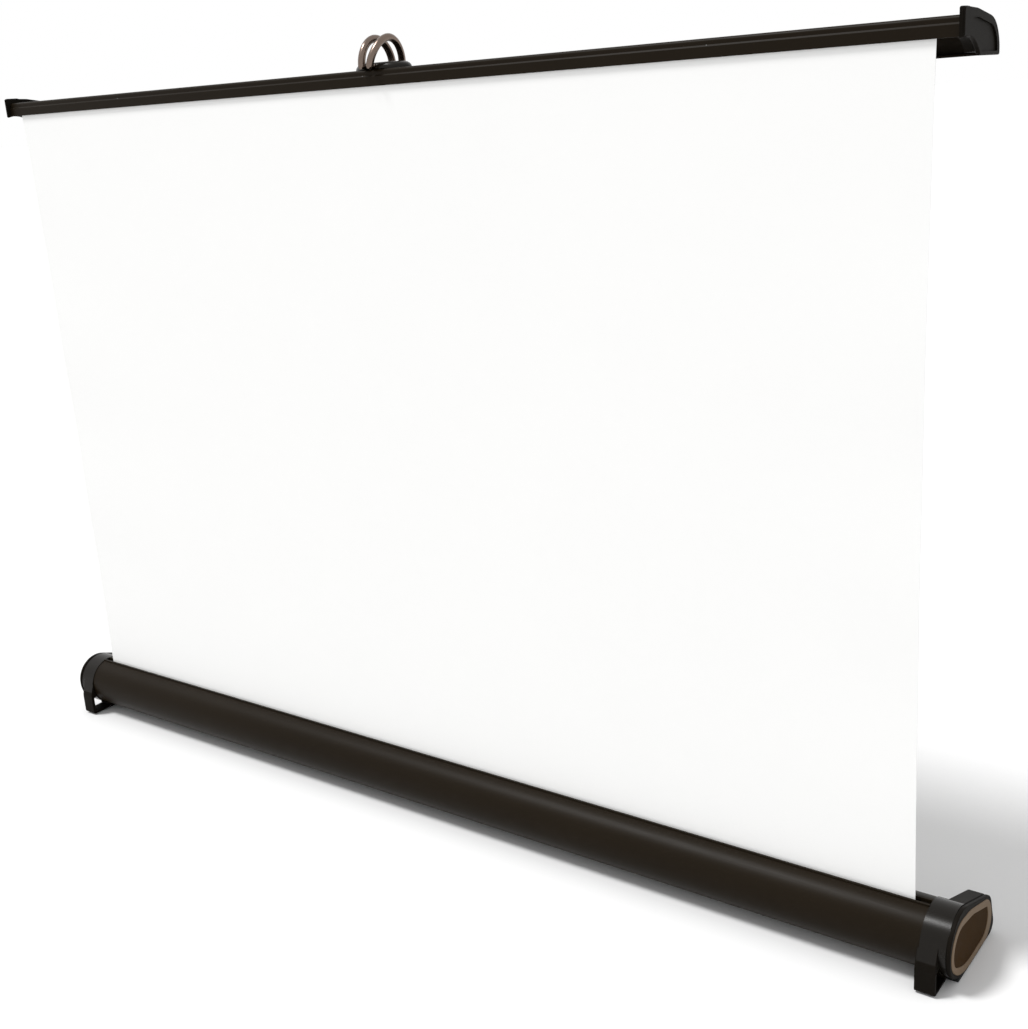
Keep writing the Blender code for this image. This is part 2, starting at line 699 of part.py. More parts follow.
def build_roller():
    axis = Vector((0, ROLLER_Y, TUBE_HEIGHT))
    half = ROLLER_END

    def about(x):
        return (x, ROLLER_Y, TUBE_HEIGHT)

    def ring(radius, hole, start, end, sides=24):
        centre = (ROLLER_Y, TUBE_HEIGHT)
        return section_mesh([circle(centre, radius, sides), circle(centre, hole, sides)], start, end)

    bore = ROLLER_RADIUS - ROLLER_WALL
    piece("roller_tube", ring(ROLLER_RADIUS, bore, -half, half), "grey_steel", axis)
    wrap = SHEET_WIDTH / 2 - 0.004
    piece("fabric_wrap", ring(WRAP_RADIUS, ROLLER_RADIUS + GAP, -wrap, wrap, 36), "white_sheet", axis)
    bearing_in = TUBE_END - SPIGOT_LENGTH
    axle_end = bearing_in + BEARING_LENGTH - GAP
    plug_in = half - 0.012
    plug_profile = [(0, axle_end), (AXLE_RADIUS, axle_end), (AXLE_RADIUS, half + 0.0015),
                    (ROLLER_RADIUS, half + 0.0015), (ROLLER_RADIUS, half + GAP), (bore - GAP, half + GAP),
                    (bore - GAP, plug_in), (0, plug_in)]
    plug = turned_mesh(plug_profile)
    piece("roller_plug_left", placed(plug, towards((-1, 0, 0), axis)), "white_plastic", axis)
    hollow = [(ROLLER_RADIUS, half + 0.0015), (ROLLER_RADIUS, half + GAP), (bore - GAP, half + GAP),
              (bore - GAP, plug_in), (AXLE_RADIUS + GAP, plug_in), (AXLE_RADIUS + GAP, half + 0.0015),
              (ROLLER_RADIUS, half + 0.0015)]
    bush = placed(turned_mesh(hollow), towards((1, 0, 0), axis))
    piece("roller_plug_right", bush, "white_plastic", axis)
    spring_in = half - 0.016 - SPRING_LENGTH
    piece("spring_shaft", rod_mesh(AXLE_RADIUS, about(spring_in - 0.006), about(axle_end)), "grey_steel", axis)
    coil_radius = (AXLE_RADIUS + GAP + bore) / 2
    points = []
    for index in range(SPRING_TURNS * 8 + 1):
        turn = math.tau * index / 8
        x = spring_in + SPRING_LENGTH * index / (SPRING_TURNS * 8)
        points.append((x, ROLLER_Y + coil_radius * math.cos(turn), TUBE_HEIGHT + coil_radius * math.sin(turn)))
    piece("roller_spring", wire_mesh(points, SPRING_WIRE, 1), "black_steel", axis)
    for side, label in ((-1, "left"), (1, "right")):
        bush = ring(BEARING_RADIUS, AXLE_RADIUS + GAP, side * (bearing_in + GAP), side * (bearing_in + BEARING_LENGTH))
        piece("roller_bearing_" + label, bush, "white_plastic")


def build_sheet():
    half = SHEET_WIDTH / 2
    top = RAIL_LIP + CLAMP_GRIP
    mesh = box_mesh((-half, -SHEET_THICKNESS / 2, TUBE_HEIGHT), (half, SHEET_THICKNESS / 2, top))
    piece("screen_sheet", mesh, "white_sheet")


def build_base_bracket():
    """Bent plate behind the tube that carries the lower pivots, riveted to the tray's floor."""
    half = BRACKET_WIDTH / 2
    rear = BASE_PLATE_Y + BRACKET_THICKNESS
    toe = FLANGE_SCREW_Y - 0.0055
    low = TRAY_FLOOR + GAP
    section = rounded([((toe, low), 0.0), ((rear, low), BRACKET_THICKNESS + 0.0005),
                       ((rear, PIVOT_HEIGHT + BRACKET_MARGIN), 0.0),
                       ((BASE_PLATE_Y, PIVOT_HEIGHT + BRACKET_MARGIN), 0.0),
                       ((BASE_PLATE_Y, low + BRACKET_THICKNESS), 0.0006), ((toe, low + BRACKET_THICKNESS), 0.0)])
    bracket = piece("base_bracket", section_mesh([section], -half, half), "grey_steel")
    rivet = rivet_mesh(SCREW_RADIUS, SCREW_HEAD, (HEAD_THICKNESS, TUBE_WALL + BRACKET_THICKNESS + 3 * GAP,
                                                  HEAD_THICKNESS))
    foot = low - TUBE_WALL - 2 * GAP - HEAD_THICKNESS
    rivets = []
    for side in (-1, 1):
        x = side * PIVOT_SPREAD
        cut(bracket, rod_mesh(PIN_RADIUS + GAP, (x, BASE_PLATE_Y - 0.001, PIVOT_HEIGHT),
                              (x, rear + 0.001, PIVOT_HEIGHT)))
        x = side * FLANGE_SCREW_X
        cut(bracket, rod_mesh(SCREW_RADIUS + GAP, (x, FLANGE_SCREW_Y, 0),
                              (x, FLANGE_SCREW_Y, low + 0.004), 12))
        rivets.append(placed(rivet, Matrix.Translation((x, FLANGE_SCREW_Y, foot))))
    numbered("base_rivet", rivets, "grey_steel")
    lengths = (HEAD_THICKNESS, BRACKET_THICKNESS + ARM_THICKNESS + 3 * GAP, HEAD_THICKNESS)
    pin = rivet_mesh(PIN_RADIUS, PIN_HEAD, lengths)
    start = BASE_PLATE_Y - GAP - HEAD_THICKNESS
    pins = [placed(pin, towards((0, 1, 0), (side * PIVOT_SPREAD, start, PIVOT_HEIGHT))) for side in (-1, 1)]
    numbered("base_pivot_pin", pins, "grey_steel")


def build_arms():
    """Four flat arms in two layers; geared pivot ends keep the left and right sides level."""
    elbow_lengths = (HEAD_THICKNESS, 2 * ARM_THICKNESS + WASHER_THICKNESS + 4 * GAP, HEAD_THICKNESS)
    elbow_pin = rivet_mesh(PIN_RADIUS, PIN_HEAD, elbow_lengths)
    for side, label in ((-1, "left"), (1, "right")):
        base = (side * PIVOT_SPREAD, LOWER_ARM_Y, PIVOT_HEIGHT)
        elbow = Vector((side * ELBOW_X, LOWER_ARM_Y, ELBOW_Z))
        lower = arm_mesh(side, ARM_ANGLE, PIVOT_HEIGHT, math.pi - ARM_ANGLE, LOWER_ARM_Y)
        piece("lower_arm_" + label, lower, "black_steel", base)
        upper = arm_mesh(side, -ARM_ANGLE, RAIL_PIVOT, math.pi + ARM_ANGLE, UPPER_ARM_Y)
        piece("upper_arm_" + label, upper, "black_steel", elbow)
        start = Vector((elbow.x, LOWER_ARM_Y - GAP - HEAD_THICKNESS, elbow.z))
        piece("elbow_pin_" + label, placed(elbow_pin, towards((0, 1, 0), start)), "grey_steel", base)
        washer = [circle((elbow.x, elbow.z), PIN_HEAD + 0.001), circle((elbow.x, elbow.z), PIN_RADIUS + GAP)]
        seat = UPPER_ARM_Y + ARM_THICKNESS + GAP
        piece("elbow_washer_" + label, plate_mesh(washer, seat, WASHER_THICKNESS), "white_plastic", base)


def rail_section():
    """Downward hollow cover: thick front wall, sloping roof, round back and a rear skirt."""
    front = RAIL_FRONT + RAIL_INSET
    rear = RAIL_REAR - RAIL_INSET
    inner_front = -SHEET_THICKNESS / 2 - GAP
    skirt = RAIL_BOTTOM + RAIL_HEM
    lip = rear - RAIL_WALL - 0.003
    outer = rounded([((front, RAIL_LIP), 0.0)] + rail_top_corners(RAIL_INSET, front, 0.0028)
                    + [((rear, skirt), 0.0)])
    wall = RAIL_INSET + RAIL_WALL
    inside = rail_top_corners(wall, inner_front, 0.0)
    hollow = rounded([((inner_front, RAIL_LIP), 0.0)] + inside
                     + [((RAIL_REAR - wall, skirt + RAIL_WALL), 0.0)])
    return list(reversed(outer)) + hollow + [Vector((lip, skirt + RAIL_WALL)), Vector((lip, skirt))]


def cap_saddle(radius, bottom):
    """Arc that clears the barrel when the rail is down, from its rear foot to its top."""
    centre = (TUBE_SETBACK, TUBE_HEIGHT + TRAVEL)
    foot = math.degrees(math.asin((bottom - centre[1]) / radius))
    return [(tuple(point), 0.0) for point in arc(centre, radius, foot, 90)]


def rail_cap_outline():
    front = RAIL_FRONT
    top = rail_top_corners(0.0, front, 0.003)
    corners = [((front, RAIL_LIP), 0.001)] + top + [((RAIL_REAR, RAIL_BOTTOM), 0.001)]
    return rounded(corners + cap_saddle(BARREL_RADIUS + RUN, RAIL_BOTTOM))


def rail_spigot_outline():
    inset = RAIL_INSET + RAIL_WALL + GAP
    front = -SHEET_THICKNESS / 2
    low = RAIL_BOTTOM + RAIL_HEM + RAIL_WALL + GAP
    corners = [((front, RAIL_LIP + 0.002), 0.0)] + rail_top_corners(inset, front, 0.0)
    corners.append(((RAIL_REAR - inset, low), 0.0))
    return rounded(corners + cap_saddle(BARREL_RADIUS + RUN + 0.002, low))


def build_rail():
    end = RAIL_END - RAIL_CAP - GAP
    rail = piece("top_rail", section_mesh([rail_section()], -end, end), "black_aluminium")
    for side, label in ((-1, "left"), (1, "right")):
        plate = section_mesh([rail_cap_outline()], side * (RAIL_END - RAIL_CAP), side * RAIL_END)
        cap = piece("rail_cap_" + label, plate, "black_plastic")
        soften(cap, 0.0009, 1)
        spigot = section_mesh([rail_spigot_outline()], side * (end - RAIL_SPIGOT), side * (RAIL_END - 0.002))
        fuse(cap, spigot)
    half = SHEET_WIDTH / 2
    rear_face = SHEET_THICKNESS / 2 + GAP
    strip_low = RAIL_LIP + 0.001
    strip = box_mesh((-half, rear_face, strip_low), (half, rear_face + CLAMP_THICKNESS, strip_low + CLAMP_HEIGHT))
    clamp = piece("sheet_clamp", strip, "grey_steel")
    screw_z = strip_low + CLAMP_HEIGHT - 0.0018
    shank = 0.0008
    tip = RAIL_FRONT + RAIL_INSET + 0.0006
    length = rear_face + CLAMP_THICKNESS + GAP - tip
    screw = screw_mesh(shank, 0.0014, 0.0008, length)
    screws = []
    for index in range(CLAMP_SCREWS):
        x = SHEET_WIDTH * ((index + 0.5) / CLAMP_SCREWS - 0.5)
        hole_start = (x, tip - GAP, screw_z)
        hole_end = (x, rear_face + CLAMP_THICKNESS + 0.001, screw_z)
        cut(rail, rod_mesh(shank + GAP, hole_start, hole_end, 8))
        cut(clamp, rod_mesh(shank + GAP, hole_start, hole_end, 8))
        screws.append(placed(screw, towards((0, 1, 0), (x, tip, screw_z))))
    numbered("clamp_screw", screws, "grey_steel")
    return rail


def build_rail_bracket(rail):
    """Bent plate under the roof that carries the upper pivots and is held by the handle screws."""
    half = BRACKET_WIDTH / 2
    rear = RAIL_PLATE_Y + BRACKET_THICKNESS
    toe = HANDLE_Y - 0.002
    inset = RAIL_INSET + RAIL_WALL + GAP
    low = RAIL_PIVOT - BRACKET_MARGIN
    under = inset + BRACKET_THICKNESS
    section = rounded([((toe, rail_roof(toe, inset)), 0.0), ((toe, rail_roof(toe, under)), 0.0),
                       ((RAIL_PLATE_Y, rail_roof(RAIL_PLATE_Y, under)), 0.0006), ((RAIL_PLATE_Y, low), 0.0),
                       ((rear, low), 0.0), ((rear, rail_roof(rear, inset + 0.0012)), BRACKET_THICKNESS)])
    bracket = piece("rail_bracket", section_mesh([section], -half, half), "grey_steel")
    for side in (-1, 1):
        x = side * PIVOT_SPREAD
        cut(bracket, rod_mesh(PIN_RADIUS + GAP, (x, RAIL_PLATE_Y - 0.001, RAIL_PIVOT),
                              (x, rear + 0.001, RAIL_PIVOT)))
    lengths = (HEAD_THICKNESS, BRACKET_THICKNESS + ARM_THICKNESS + 3 * GAP, HEAD_THICKNESS)
    pin = rivet_mesh(PIN_RADIUS, PIN_HEAD, lengths)
    start = UPPER_ARM_Y - GAP - HEAD_THICKNESS
    pins = [placed(pin, towards((0, 1, 0), (side * PIVOT_SPREAD, start, RAIL_PIVOT))) for side in (-1, 1)]
    numbered("rail_pivot_pin", pins, "grey_steel")
    return bracket


def loop_axis(index):
    """Point on the hinge axis of one wire loop."""
    front = RAIL_FRONT + RAIL_INSET
    return Vector((LOOP_X[index], HANDLE_Y, rail_roof(front, RAIL_INSET) + LOOP_AXLE + GAP))


def loop_meshes(index):
    """Wire arch with short straight legs on a thin axle; both are leaned about the axle."""
    axis = loop_axis(index)
    half, crown = LOOP_HALF_WIDTHS[index], LOOP_RISES[index] - LOOP_LEG
    points = [(axis.x, axis.y - half, axis.z)]
    steps = 14
    for step in range(steps + 1):
        turn = math.pi * step / steps
        rise = LOOP_LEG + crown * math.sin(turn)
        points.append((axis.x, axis.y - half * math.cos(turn), axis.z + rise))
    points.append((axis.x, axis.y + half, axis.z))
    arch = wire_mesh(points, LOOP_RADIUS, 2)
    reach = half + LOOP_RADIUS * 0.6
    axle = rod_mesh(LOOP_AXLE, (axis.x, axis.y - reach, axis.z), (axis.x, axis.y + reach, axis.z), 16)
    lean = Matrix.Rotation(math.radians(LOOP_LEANS[index]), 4, "Y")
    turn = Matrix.Translation(axis) @ lean @ Matrix.Translation(-axis)
    return placed(arch, turn), placed(axle, turn)


def build_handle(rail, bracket):
    radius = HANDLE_LENGTH / 2
    roof = rail_roof(HANDLE_Y, RAIL_INSET)
    shoulder = HANDLE_RISE * 0.75
    profile = [(0, HANDLE_RISE), (radius * 0.55, HANDLE_RISE * 0.98)]
    for index in range(7):
        turn = math.radians(15 * index)
        profile.append((radius * (0.72 + 0.28 * math.sin(turn)), HANDLE_RISE * 0.94 - shoulder * (1 - math.cos(turn))))
    profile += [(radius, -0.006), (0, -0.006)]
    dome = turned_mesh(profile, 32)
    squeeze = Matrix.Scale(HANDLE_DEPTH / HANDLE_LENGTH, 4, (0, 1, 0))
    dome.transform(Matrix.Translation((HANDLE_X, HANDLE_Y, roof)) @ squeeze)
    pad = piece("handle_base", dome, "black_plastic")
    underside = [Vector((-0.03, rail_roof(-0.03, RAIL_INSET) + GAP)), Vector((-0.03, roof - 0.02)),
                 Vector((0.06, roof - 0.02)), Vector((0.06, rail_roof(0.06, RAIL_INSET) + GAP))]
    cut(pad, section_mesh([underside], HANDLE_X - 0.04, HANDLE_X + 0.04))
    for index, label in enumerate(("left", "right")):
        arch, axle = loop_meshes(index)
        axis = loop_axis(index)
        loop = piece("handle_loop_" + label, arch, "polished_wire", axis)
        fuse(loop, axle)
        reach = HANDLE_DEPTH
        clear = LOOP_AXLE + GAP
        groove = [Vector((axis.x + clear, axis.z - 0.01))]
        groove += arc((axis.x, axis.z), clear, 0, 180)
        groove += [Vector((axis.x - clear, axis.z - 0.01))]
        cut(pad, plate_mesh([groove], HANDLE_Y - reach, 2 * reach))
    inset = RAIL_INSET + RAIL_WALL + GAP + BRACKET_THICKNESS + GAP
    length = 0.0062
    screw = screw_mesh(SCREW_RADIUS, SCREW_HEAD, HEAD_THICKNESS, length)
    screws = []
    for side in (-1, 1):
        x = HANDLE_X + side * HANDLE_SCREW_X
        y = HANDLE_Y + 0.0045
        seat = Vector((x, y, rail_roof(y, inset) - 0.0004))
        tip = seat + Vector((0, 0, length))
        screws.append(placed(screw, towards((0, 0, -1), tip)))
        hole = rod_mesh(SCREW_RADIUS + GAP, (x, y, seat.z - 0.002), (x, y, tip.z + GAP), 12)
        for target in (rail, bracket, pad):
            cut(target, hole.copy())
    numbered("handle_screw", screws, "grey_steel")


def centre_on_footprint():
    """Moves the carrying empty so that the model's middle depth lies on the origin."""
    rear = max(point.x for point in head_outline())
    assembly.location.y = -(rear + FOOT_FRONT) / 2


for item in list(bpy.data.objects):
    bpy.data.objects.remove(item)
parts = fresh_collection("tabletop_projector_screen")
cutters = fresh_collection("cutters")
FINISHES = make_finishes()
assembly = bpy.data.objects.new("assembly", None)
parts.objects.link(assembly)
build_housing()
for hand, hand_name in ((-1, "left"), (1, "right")):
    build_end_cap(hand, hand_name)
    build_cap_trim(hand, hand_name)
build_roller()
build_sheet()
build_base_bracket()
build_arms()
top_rail = build_rail()
build_handle(top_rail, build_rail_bracket(top_rail))
centre_on_footprint()
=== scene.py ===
import math

import bmesh
import bpy
from mathutils import Matrix, Vector, noise


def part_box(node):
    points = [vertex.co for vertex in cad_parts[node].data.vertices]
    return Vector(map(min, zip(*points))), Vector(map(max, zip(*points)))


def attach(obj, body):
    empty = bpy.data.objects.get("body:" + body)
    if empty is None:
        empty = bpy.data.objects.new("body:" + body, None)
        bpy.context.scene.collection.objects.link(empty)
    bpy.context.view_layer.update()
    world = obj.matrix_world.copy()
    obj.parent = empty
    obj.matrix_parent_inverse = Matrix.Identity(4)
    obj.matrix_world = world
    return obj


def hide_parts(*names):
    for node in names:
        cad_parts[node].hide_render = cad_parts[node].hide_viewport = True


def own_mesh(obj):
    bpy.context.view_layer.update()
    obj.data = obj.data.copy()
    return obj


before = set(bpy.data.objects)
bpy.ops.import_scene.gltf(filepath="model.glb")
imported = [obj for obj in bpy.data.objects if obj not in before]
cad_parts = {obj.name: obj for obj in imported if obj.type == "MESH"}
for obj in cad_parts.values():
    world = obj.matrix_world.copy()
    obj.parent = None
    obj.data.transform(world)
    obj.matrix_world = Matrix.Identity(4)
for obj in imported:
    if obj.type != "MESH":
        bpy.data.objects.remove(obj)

bl_info = {
    "name": "Tabletop projection screen",
    "version": (1, 0, 0),
    "blender": (4, 5, 0),
    "location": "View3D > Sidebar > Screen",
    "description": "Dresses the frame of a tabletop pull-up projection screen",
    "category": "Object",
}

# Gaps between the pieces, as in the frame
GAP = 0.0003
RUN = 0.0005

# Cutters: how far they reach past what they cut, how far where nothing else is near, and how far two faces
# are kept from lying in one plane
PAST = 0.001
FAR = 0.02
NUDGE = 0.0001

# Points closer than this are one, and edges sharper than this are rounded
WELD = 2e-6
SHARP = math.radians(50)

# What carving does with each mesh in turn
JOIN = "UNION"
CUT = "DIFFERENCE"

SIDES = ((-1, "left"), (1, "right"))

# The vertical plane of the cloth, which all depths below are measured from, +Y to the rear
SHEET_LOW, SHEET_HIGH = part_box("screen_sheet")
PLANE = (SHEET_LOW.y + SHEET_HIGH.y) / 2
SHEET_THICKNESS = SHEET_HIGH.y - SHEET_LOW.y
SHEET_DROP = 0.550

# The cloth's tension: half waves down its edges, their shift across it in radians, the powers at which its
# waist and its waves fade away from the edges, and the soft unevenness all over
EDGE_HALF_WAVES = 7
WAVE_SHIFT = 2.2
WAIST_POWER = 3
WAVE_POWER = 6
SOFT_ACROSS = 2.3
SOFT_UP = 1.4
SOFT_LAYER = 4.0
SOFT_SHARE = 0.8

# The turn of cloth on the roller stops short of meeting itself
CLOTH_TURN = math.radians(355)

# The housing tube with its two lips, the tray behind it and the ports for the end caps' screws
TUBE_END, TRAY_REAR, SLOT_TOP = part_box("housing_tube")[1]
FRONT_LIP = (PLANE - 0.0038, PLANE - 0.0022)
REAR_LIP = (PLANE + 0.0026, PLANE + 0.0042)
TRAY_TOP = 0.019
TRAY_CORNER = 0.004
PORT_RADIUS = 0.0034
PORT_BORE = 0.0018
PORT_ANGLES = (190.0, 262.0)

# The end caps; a lap is how far one part of a cap reaches into the next
HEAD_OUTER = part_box("end_cap_right")[1].x
HEAD_INNER = HEAD_OUTER - 0.0147
HEAD_LAP = 0.002
HEAD_RIM = 0.0027
RIM_LAP = 0.0005
RIM_SOFTENING = 0.0006
BODY_SOFTENING = 0.7
GROOVE_WIDTH = 0.0006
GROOVE_DEPTH = 0.0010
BODY_END = HEAD_OUTER - HEAD_RIM - GROOVE_WIDTH
BARREL_BAND = 0.0012
COLLAR_MARGIN = 0.0011
COLLAR_CORNER = 0.002
SPIGOT_LENGTH = 0.008
SPIGOT_LAP = 0.004

# The hooked foot: how it leaves the barrel, bends down at the front and ends under the tube, its window,
# and its clearance around the tube
FOOT_START = TUBE_END - 0.0011
FOOT_LEAVES = math.radians(159)
FOOT_BEND_DROP = 0.008
FOOT_BEND = 0.018
FOOT_CORNER = 0.0022
FOOT_LIFT = 0.0002
FOOT_ROOT = 0.012
FOOT_ROOT_DROP = 0.015
FOOT_SOFTENING = 0.0005
FOOT_CLEAR = 0.0006
WINDOW_WALL = 0.003
WINDOW_SILL = 0.0020
WINDOW_TOP = 0.47
WINDOW_REAR = 0.009
WINDOW_START = math.radians(248)
WINDOW_END = math.radians(205)

# The rubber pads
PAD_SOFTENING = 0.0005
PAD_GROOVES = 4
PAD_GROOVE_WIDTH = 0.0008
PAD_GROOVE_DEPTH = 0.0005

# Outlines on the end caps, as sides: outward angle in degrees, distance from the tube's axis, and the
# rounding of the corner that follows
HEAD_SIDES = ((69.5, 0.0245, 0.0238), (180.0, 0.0251, 0.0250), (255.0, 0.0251, 0.0120),
              (270.0, 0.0287, 0.0070), (378.7, 0.0565, 0.0160))
BODY_SIDES = ((69.5, 0.0245, 0.0246), (180.0, 0.0243, 0.0250), (255.0, 0.0243, 0.0120),
              (270.0, 0.0287, 0.0070), (378.7, 0.0565, 0.0160))
RING_SIDES = ((71.8, 0.0204, 0.0500), (84.3, 0.0183, 0.0193), (226.7, 0.0219, 0.0348),
              (248.5, 0.0231, 0.0500), (269.8, 0.0273, 0.0172), (358.1, 0.0613, 0.0281))
PLATE_SIDES = ((69.7, 0.0163, 0.0477), (81.7, 0.0129, 0.0198), (182.1, 0.0177, 0.0194),
               (241.5, 0.0172, 0.0500), (270.2, 0.0224, 0.0126), (384.6, 0.0450, 0.0006))
BOTTOM_REACH = HEAD_SIDES[3][1]
RING_DEPTH = 0.0017
RING_PROUD = 0.0003
RING_SOFTENING = 0.0004
PLATE_SOFTENING = 0.0003

# Softening of the CAD's own arms, pins, washers, clamp and brackets
BLADE_EDGE = 0.00025
PIN_EDGE = 0.0002
WASHER_EDGE = 0.00015
CLAMP_EDGE = 0.0002
BRACKET_EDGE = 0.0003

# The rail's cover, with the step along its front wall
RAIL_LOW, RAIL_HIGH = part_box("top_rail")
RAIL_LIP = SLOT_TOP + SHEET_DROP
RAIL_FRONT = -0.0045
RAIL_REAR = 0.0577
RAIL_INSET = 0.0025
RAIL_WALL = 0.0015
RAIL_ROUND = 0.020
RAIL_SLOPE = math.radians(6)
RAIL_CREST = RAIL_LIP + 0.0147
RAIL_SKIRT = RAIL_LIP - 0.0104
RAIL_HEM = 0.0003
RAIL_HEM_REACH = 0.003
RAIL_HEM_ROUND = 0.0003
RAIL_SKIRT_ROUND = 0.0004
RAIL_CREST_ROUND = 0.0024
RAIL_LIP_ROUND = 0.0003
RAIL_LIP_INNER_ROUND = 0.0002
STEP_DEPTH = 0.0009
STEP_DROP = 0.0052
STEP_HEIGHT = 0.0010

# The rail's ends, with the highest point of their roof and the plug that goes into the cover
CAP_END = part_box("rail_cap_right")[1].x
CAP_START = RAIL_HIGH.x + GAP
CAP_WALL = 0.0016
CAP_ROUND = 0.001
CAP_RISE = 0.0009
CAP_PEAK = 0.018
CAP_PEAK_ROUND = 0.030
CAP_SOFTENING = 0.0009
SADDLE_STEPS = 14
PLUG_LENGTH = 0.0065
PLUG_CLEAR = 0.002

# The panel sunk into the side of each rail end, and the rounded bar on its front
PANEL_DEPTH = 0.0012
PANEL_BORDER = 0.0048
PANEL_FRONT = 0.0085
PANEL_FOOT = 0.0022
PANEL_CLEAR = 0.0040
PANEL_ROUND = 0.0008
NOSE_DEPTH = 0.0081
NOSE_MIDDLE = 0.0019
NOSE_PROUD = 0.0012
NOSE_BELOW = 0.0013
NOSE_SOFTENING = 0.0012

# The handle's base: its middle, its height over the roof and how far it reaches down before it is cut
HANDLE_X = 0.0092
HANDLE_Y = 0.0132
HANDLE_RISE = 0.0064
HANDLE_SKIRT = 0.006

# The base's dome in shares of its radius and height: two points of its top, and its round shoulder
DOME_TOP = ((0.0, 1.0), (0.55, 0.98))
SHOULDER_WIDTH = 0.28
SHOULDER_START = 0.94
SHOULDER_DROP = 0.75
SHOULDER_STEPS = 12

# The wire loops: place along the rail, lean in degrees, half width, height, and share drawn in at the top
LOOPS = {"left": (0.0031, 0.0, 0.0172, 0.0226, 0.10), "right": (0.0116, 13.0, 0.0183, 0.0232, 0.20)}
LOOP_LEG = 0.0025
AXLE_RADIUS = 0.0016
AXLE_REACH = 0.6
AXLE_SOFTENING = 0.0003

# The camera, solved from the photograph, and the ceiling light
CAMERA_PLACE = (0.708086, PLANE - 0.776894, SLOT_TOP + 0.532631)
CAMERA_TURN = (72.8394, 3.8170, 36.3201)
LAMP_PLACE = (-0.45, -0.35, 1.5)
LAMP_AIM = (0.45, 0.35, -1.0)
LAMP_SPREAD = math.radians(14)
FLOOR_REACH = 60.0


def colour(text):
    """Linear colour from an sRGB hex value."""
    channels = [int(text[i:i + 2], 16) / 255 for i in (0, 2, 4)]
    linear = [c / 12.92 if c <= 0.04045 else ((c + 0.055) / 1.055) ** 2.4 for c in channels]
    return (*linear, 1.0)


def length(name, description, default):
    """A size that the user can change, in metres."""
    return bpy.props.FloatProperty(name=name, description=description, default=default, unit="LENGTH",
                                   precision=5)


def paint(name, description, default):
    """A colour that the user can change, given as an sRGB hex value."""
    return bpy.props.FloatVectorProperty(name=name, description=description, default=colour(default),
                                         size=4, min=0.0, max=1.0, subtype="COLOR")


class ScreenSizes(bpy.types.PropertyGroup):
    tube_radius: length("Tube radius", "Outside radius of the housing tube", 0.024)
    tube_wall: length("Tube wall", "Wall of the housing extrusion", 0.0016)
    tube_setback: length("Tube setback", "Tube axis behind the cloth's plane", 0.0024)
    tube_height: length("Tube height", "Tube axis above the table", 0.0297)
    barrel_radius: length("Barrel radius", "Radius of the end cap's barrel", 0.0246)
    head_softening: length("Head softening", "Rounding of the end cap's rims", 0.0012)
    foot_front: length("Foot front", "Front face of the hooked foot", -0.0270)
    foot_width: length("Foot width", "Width of the hooked foot along the tube", 0.0142)
    wire_radius: length("Wire radius", "Radius of the handle's wire", 0.0029)
    waist: length("Waist", "How far the tensioned cloth draws in at half height", 0.0022)
    ripple: length("Ripple", "Height of the soft waves in the tensioned cloth", 0.0004)
    weave: length("Weave", "Spacing of the cloth's threads as drawn", 0.00055)
    grain: length("Grain", "Size of the moulded plastic's grain as drawn", 0.0007)
    die_lines: length("Die lines", "Spacing of the extrusion's fine lines as drawn", 0.0006)


class ScreenColours(bpy.types.PropertyGroup):
    aluminium: paint("Anodised aluminium", "Housing tube and top rail", "1B150D")
    plastic: paint("Moulded plastic", "End caps, rail caps and handle base", "14110D")
    trim: paint("Trim ring", "Pale ring on each end", "705D48")
    inset: paint("Inset plate", "Dark plate inside the ring", "35240F")
    cloth: paint("Cloth", "Projection surface", "F7F7F6")
    backing: paint("Backing", "Rear coating of the cloth", "E4E4E2")
    rubber: paint("Rubber", "Feet pads", "1B1B1B")
    steel: paint("Zinc plated steel", "Brackets, pins and screws", "9A9B9C")
    arms: paint("Coated steel", "Folding arms", "1A1A1A")
    wire: paint("Polished wire", "Handle loops", "74665D")
    acetal: paint("Acetal", "Washers and bearings", "D8D6D0")


class StageSettings(bpy.types.PropertyGroup):
    lens: bpy.props.FloatProperty(name="Lens", description="Focal length", default=46.857,
                                  subtype="DISTANCE_CAMERA")
    key: bpy.props.FloatProperty(name="Key", description="Strength of the ceiling light", default=2.4)
    fill: bpy.props.FloatProperty(name="Fill", description="Strength of the sky on the object",
                                  default=0.78)
    room: paint("Room", "Colour of the sky that lights the object", "FFFFFF")
    floor: paint("Floor", "Colour of the floor as seen", "E6E6E6")
    bounce: paint("Bounce", "Colour of the floor as it lights the object", "CBCBCB")


def user_sizes():
    return bpy.context.scene.screen_sizes


def user_colours():
    return bpy.context.scene.screen_colours


# Materials

# Widths of the patterns' cells in metres; flecks, pebbles and rolling marks are drawn coarser than the real
# ones, so that they show
FLECK = 1 / 900  # 1.1 mm
PEBBLE = 1 / 700  # 1.4 mm
ROLLING_MARK = 1 / 700  # 1.4 mm
ORANGE_PEEL = 1 / 650  # 1.5 mm
BLOOM = 1 / 500  # 2 mm
WAX = 1 / 300  # 3.3 mm
ZINC_CRYSTAL = 1 / 220  # 4.5 mm
DULLED_PATCH = 1 / 120  # 8.3 mm
VINYL_PATCH = 1 / 60  # 17 mm
MOULD_PATCH = 1 / 25  # 40 mm
CLOTH_PATCH = 1 / 14  # 71 mm
DYE_PATCH = 1 / 9  # 111 mm


def add_node(tree, kind, inputs=None, **settings):
    """Adds a node; settings are its own properties, inputs give a socket a value or another's output."""
    item = tree.nodes.new("ShaderNode" + kind)
    for name, value in settings.items():
        setattr(item, name, value)
    for socket, value in (inputs or {}).items():
        if isinstance(value, bpy.types.NodeSocket):
            tree.links.new(value, item.inputs[socket])
        else:
            item.inputs[socket].default_value = value
    return item


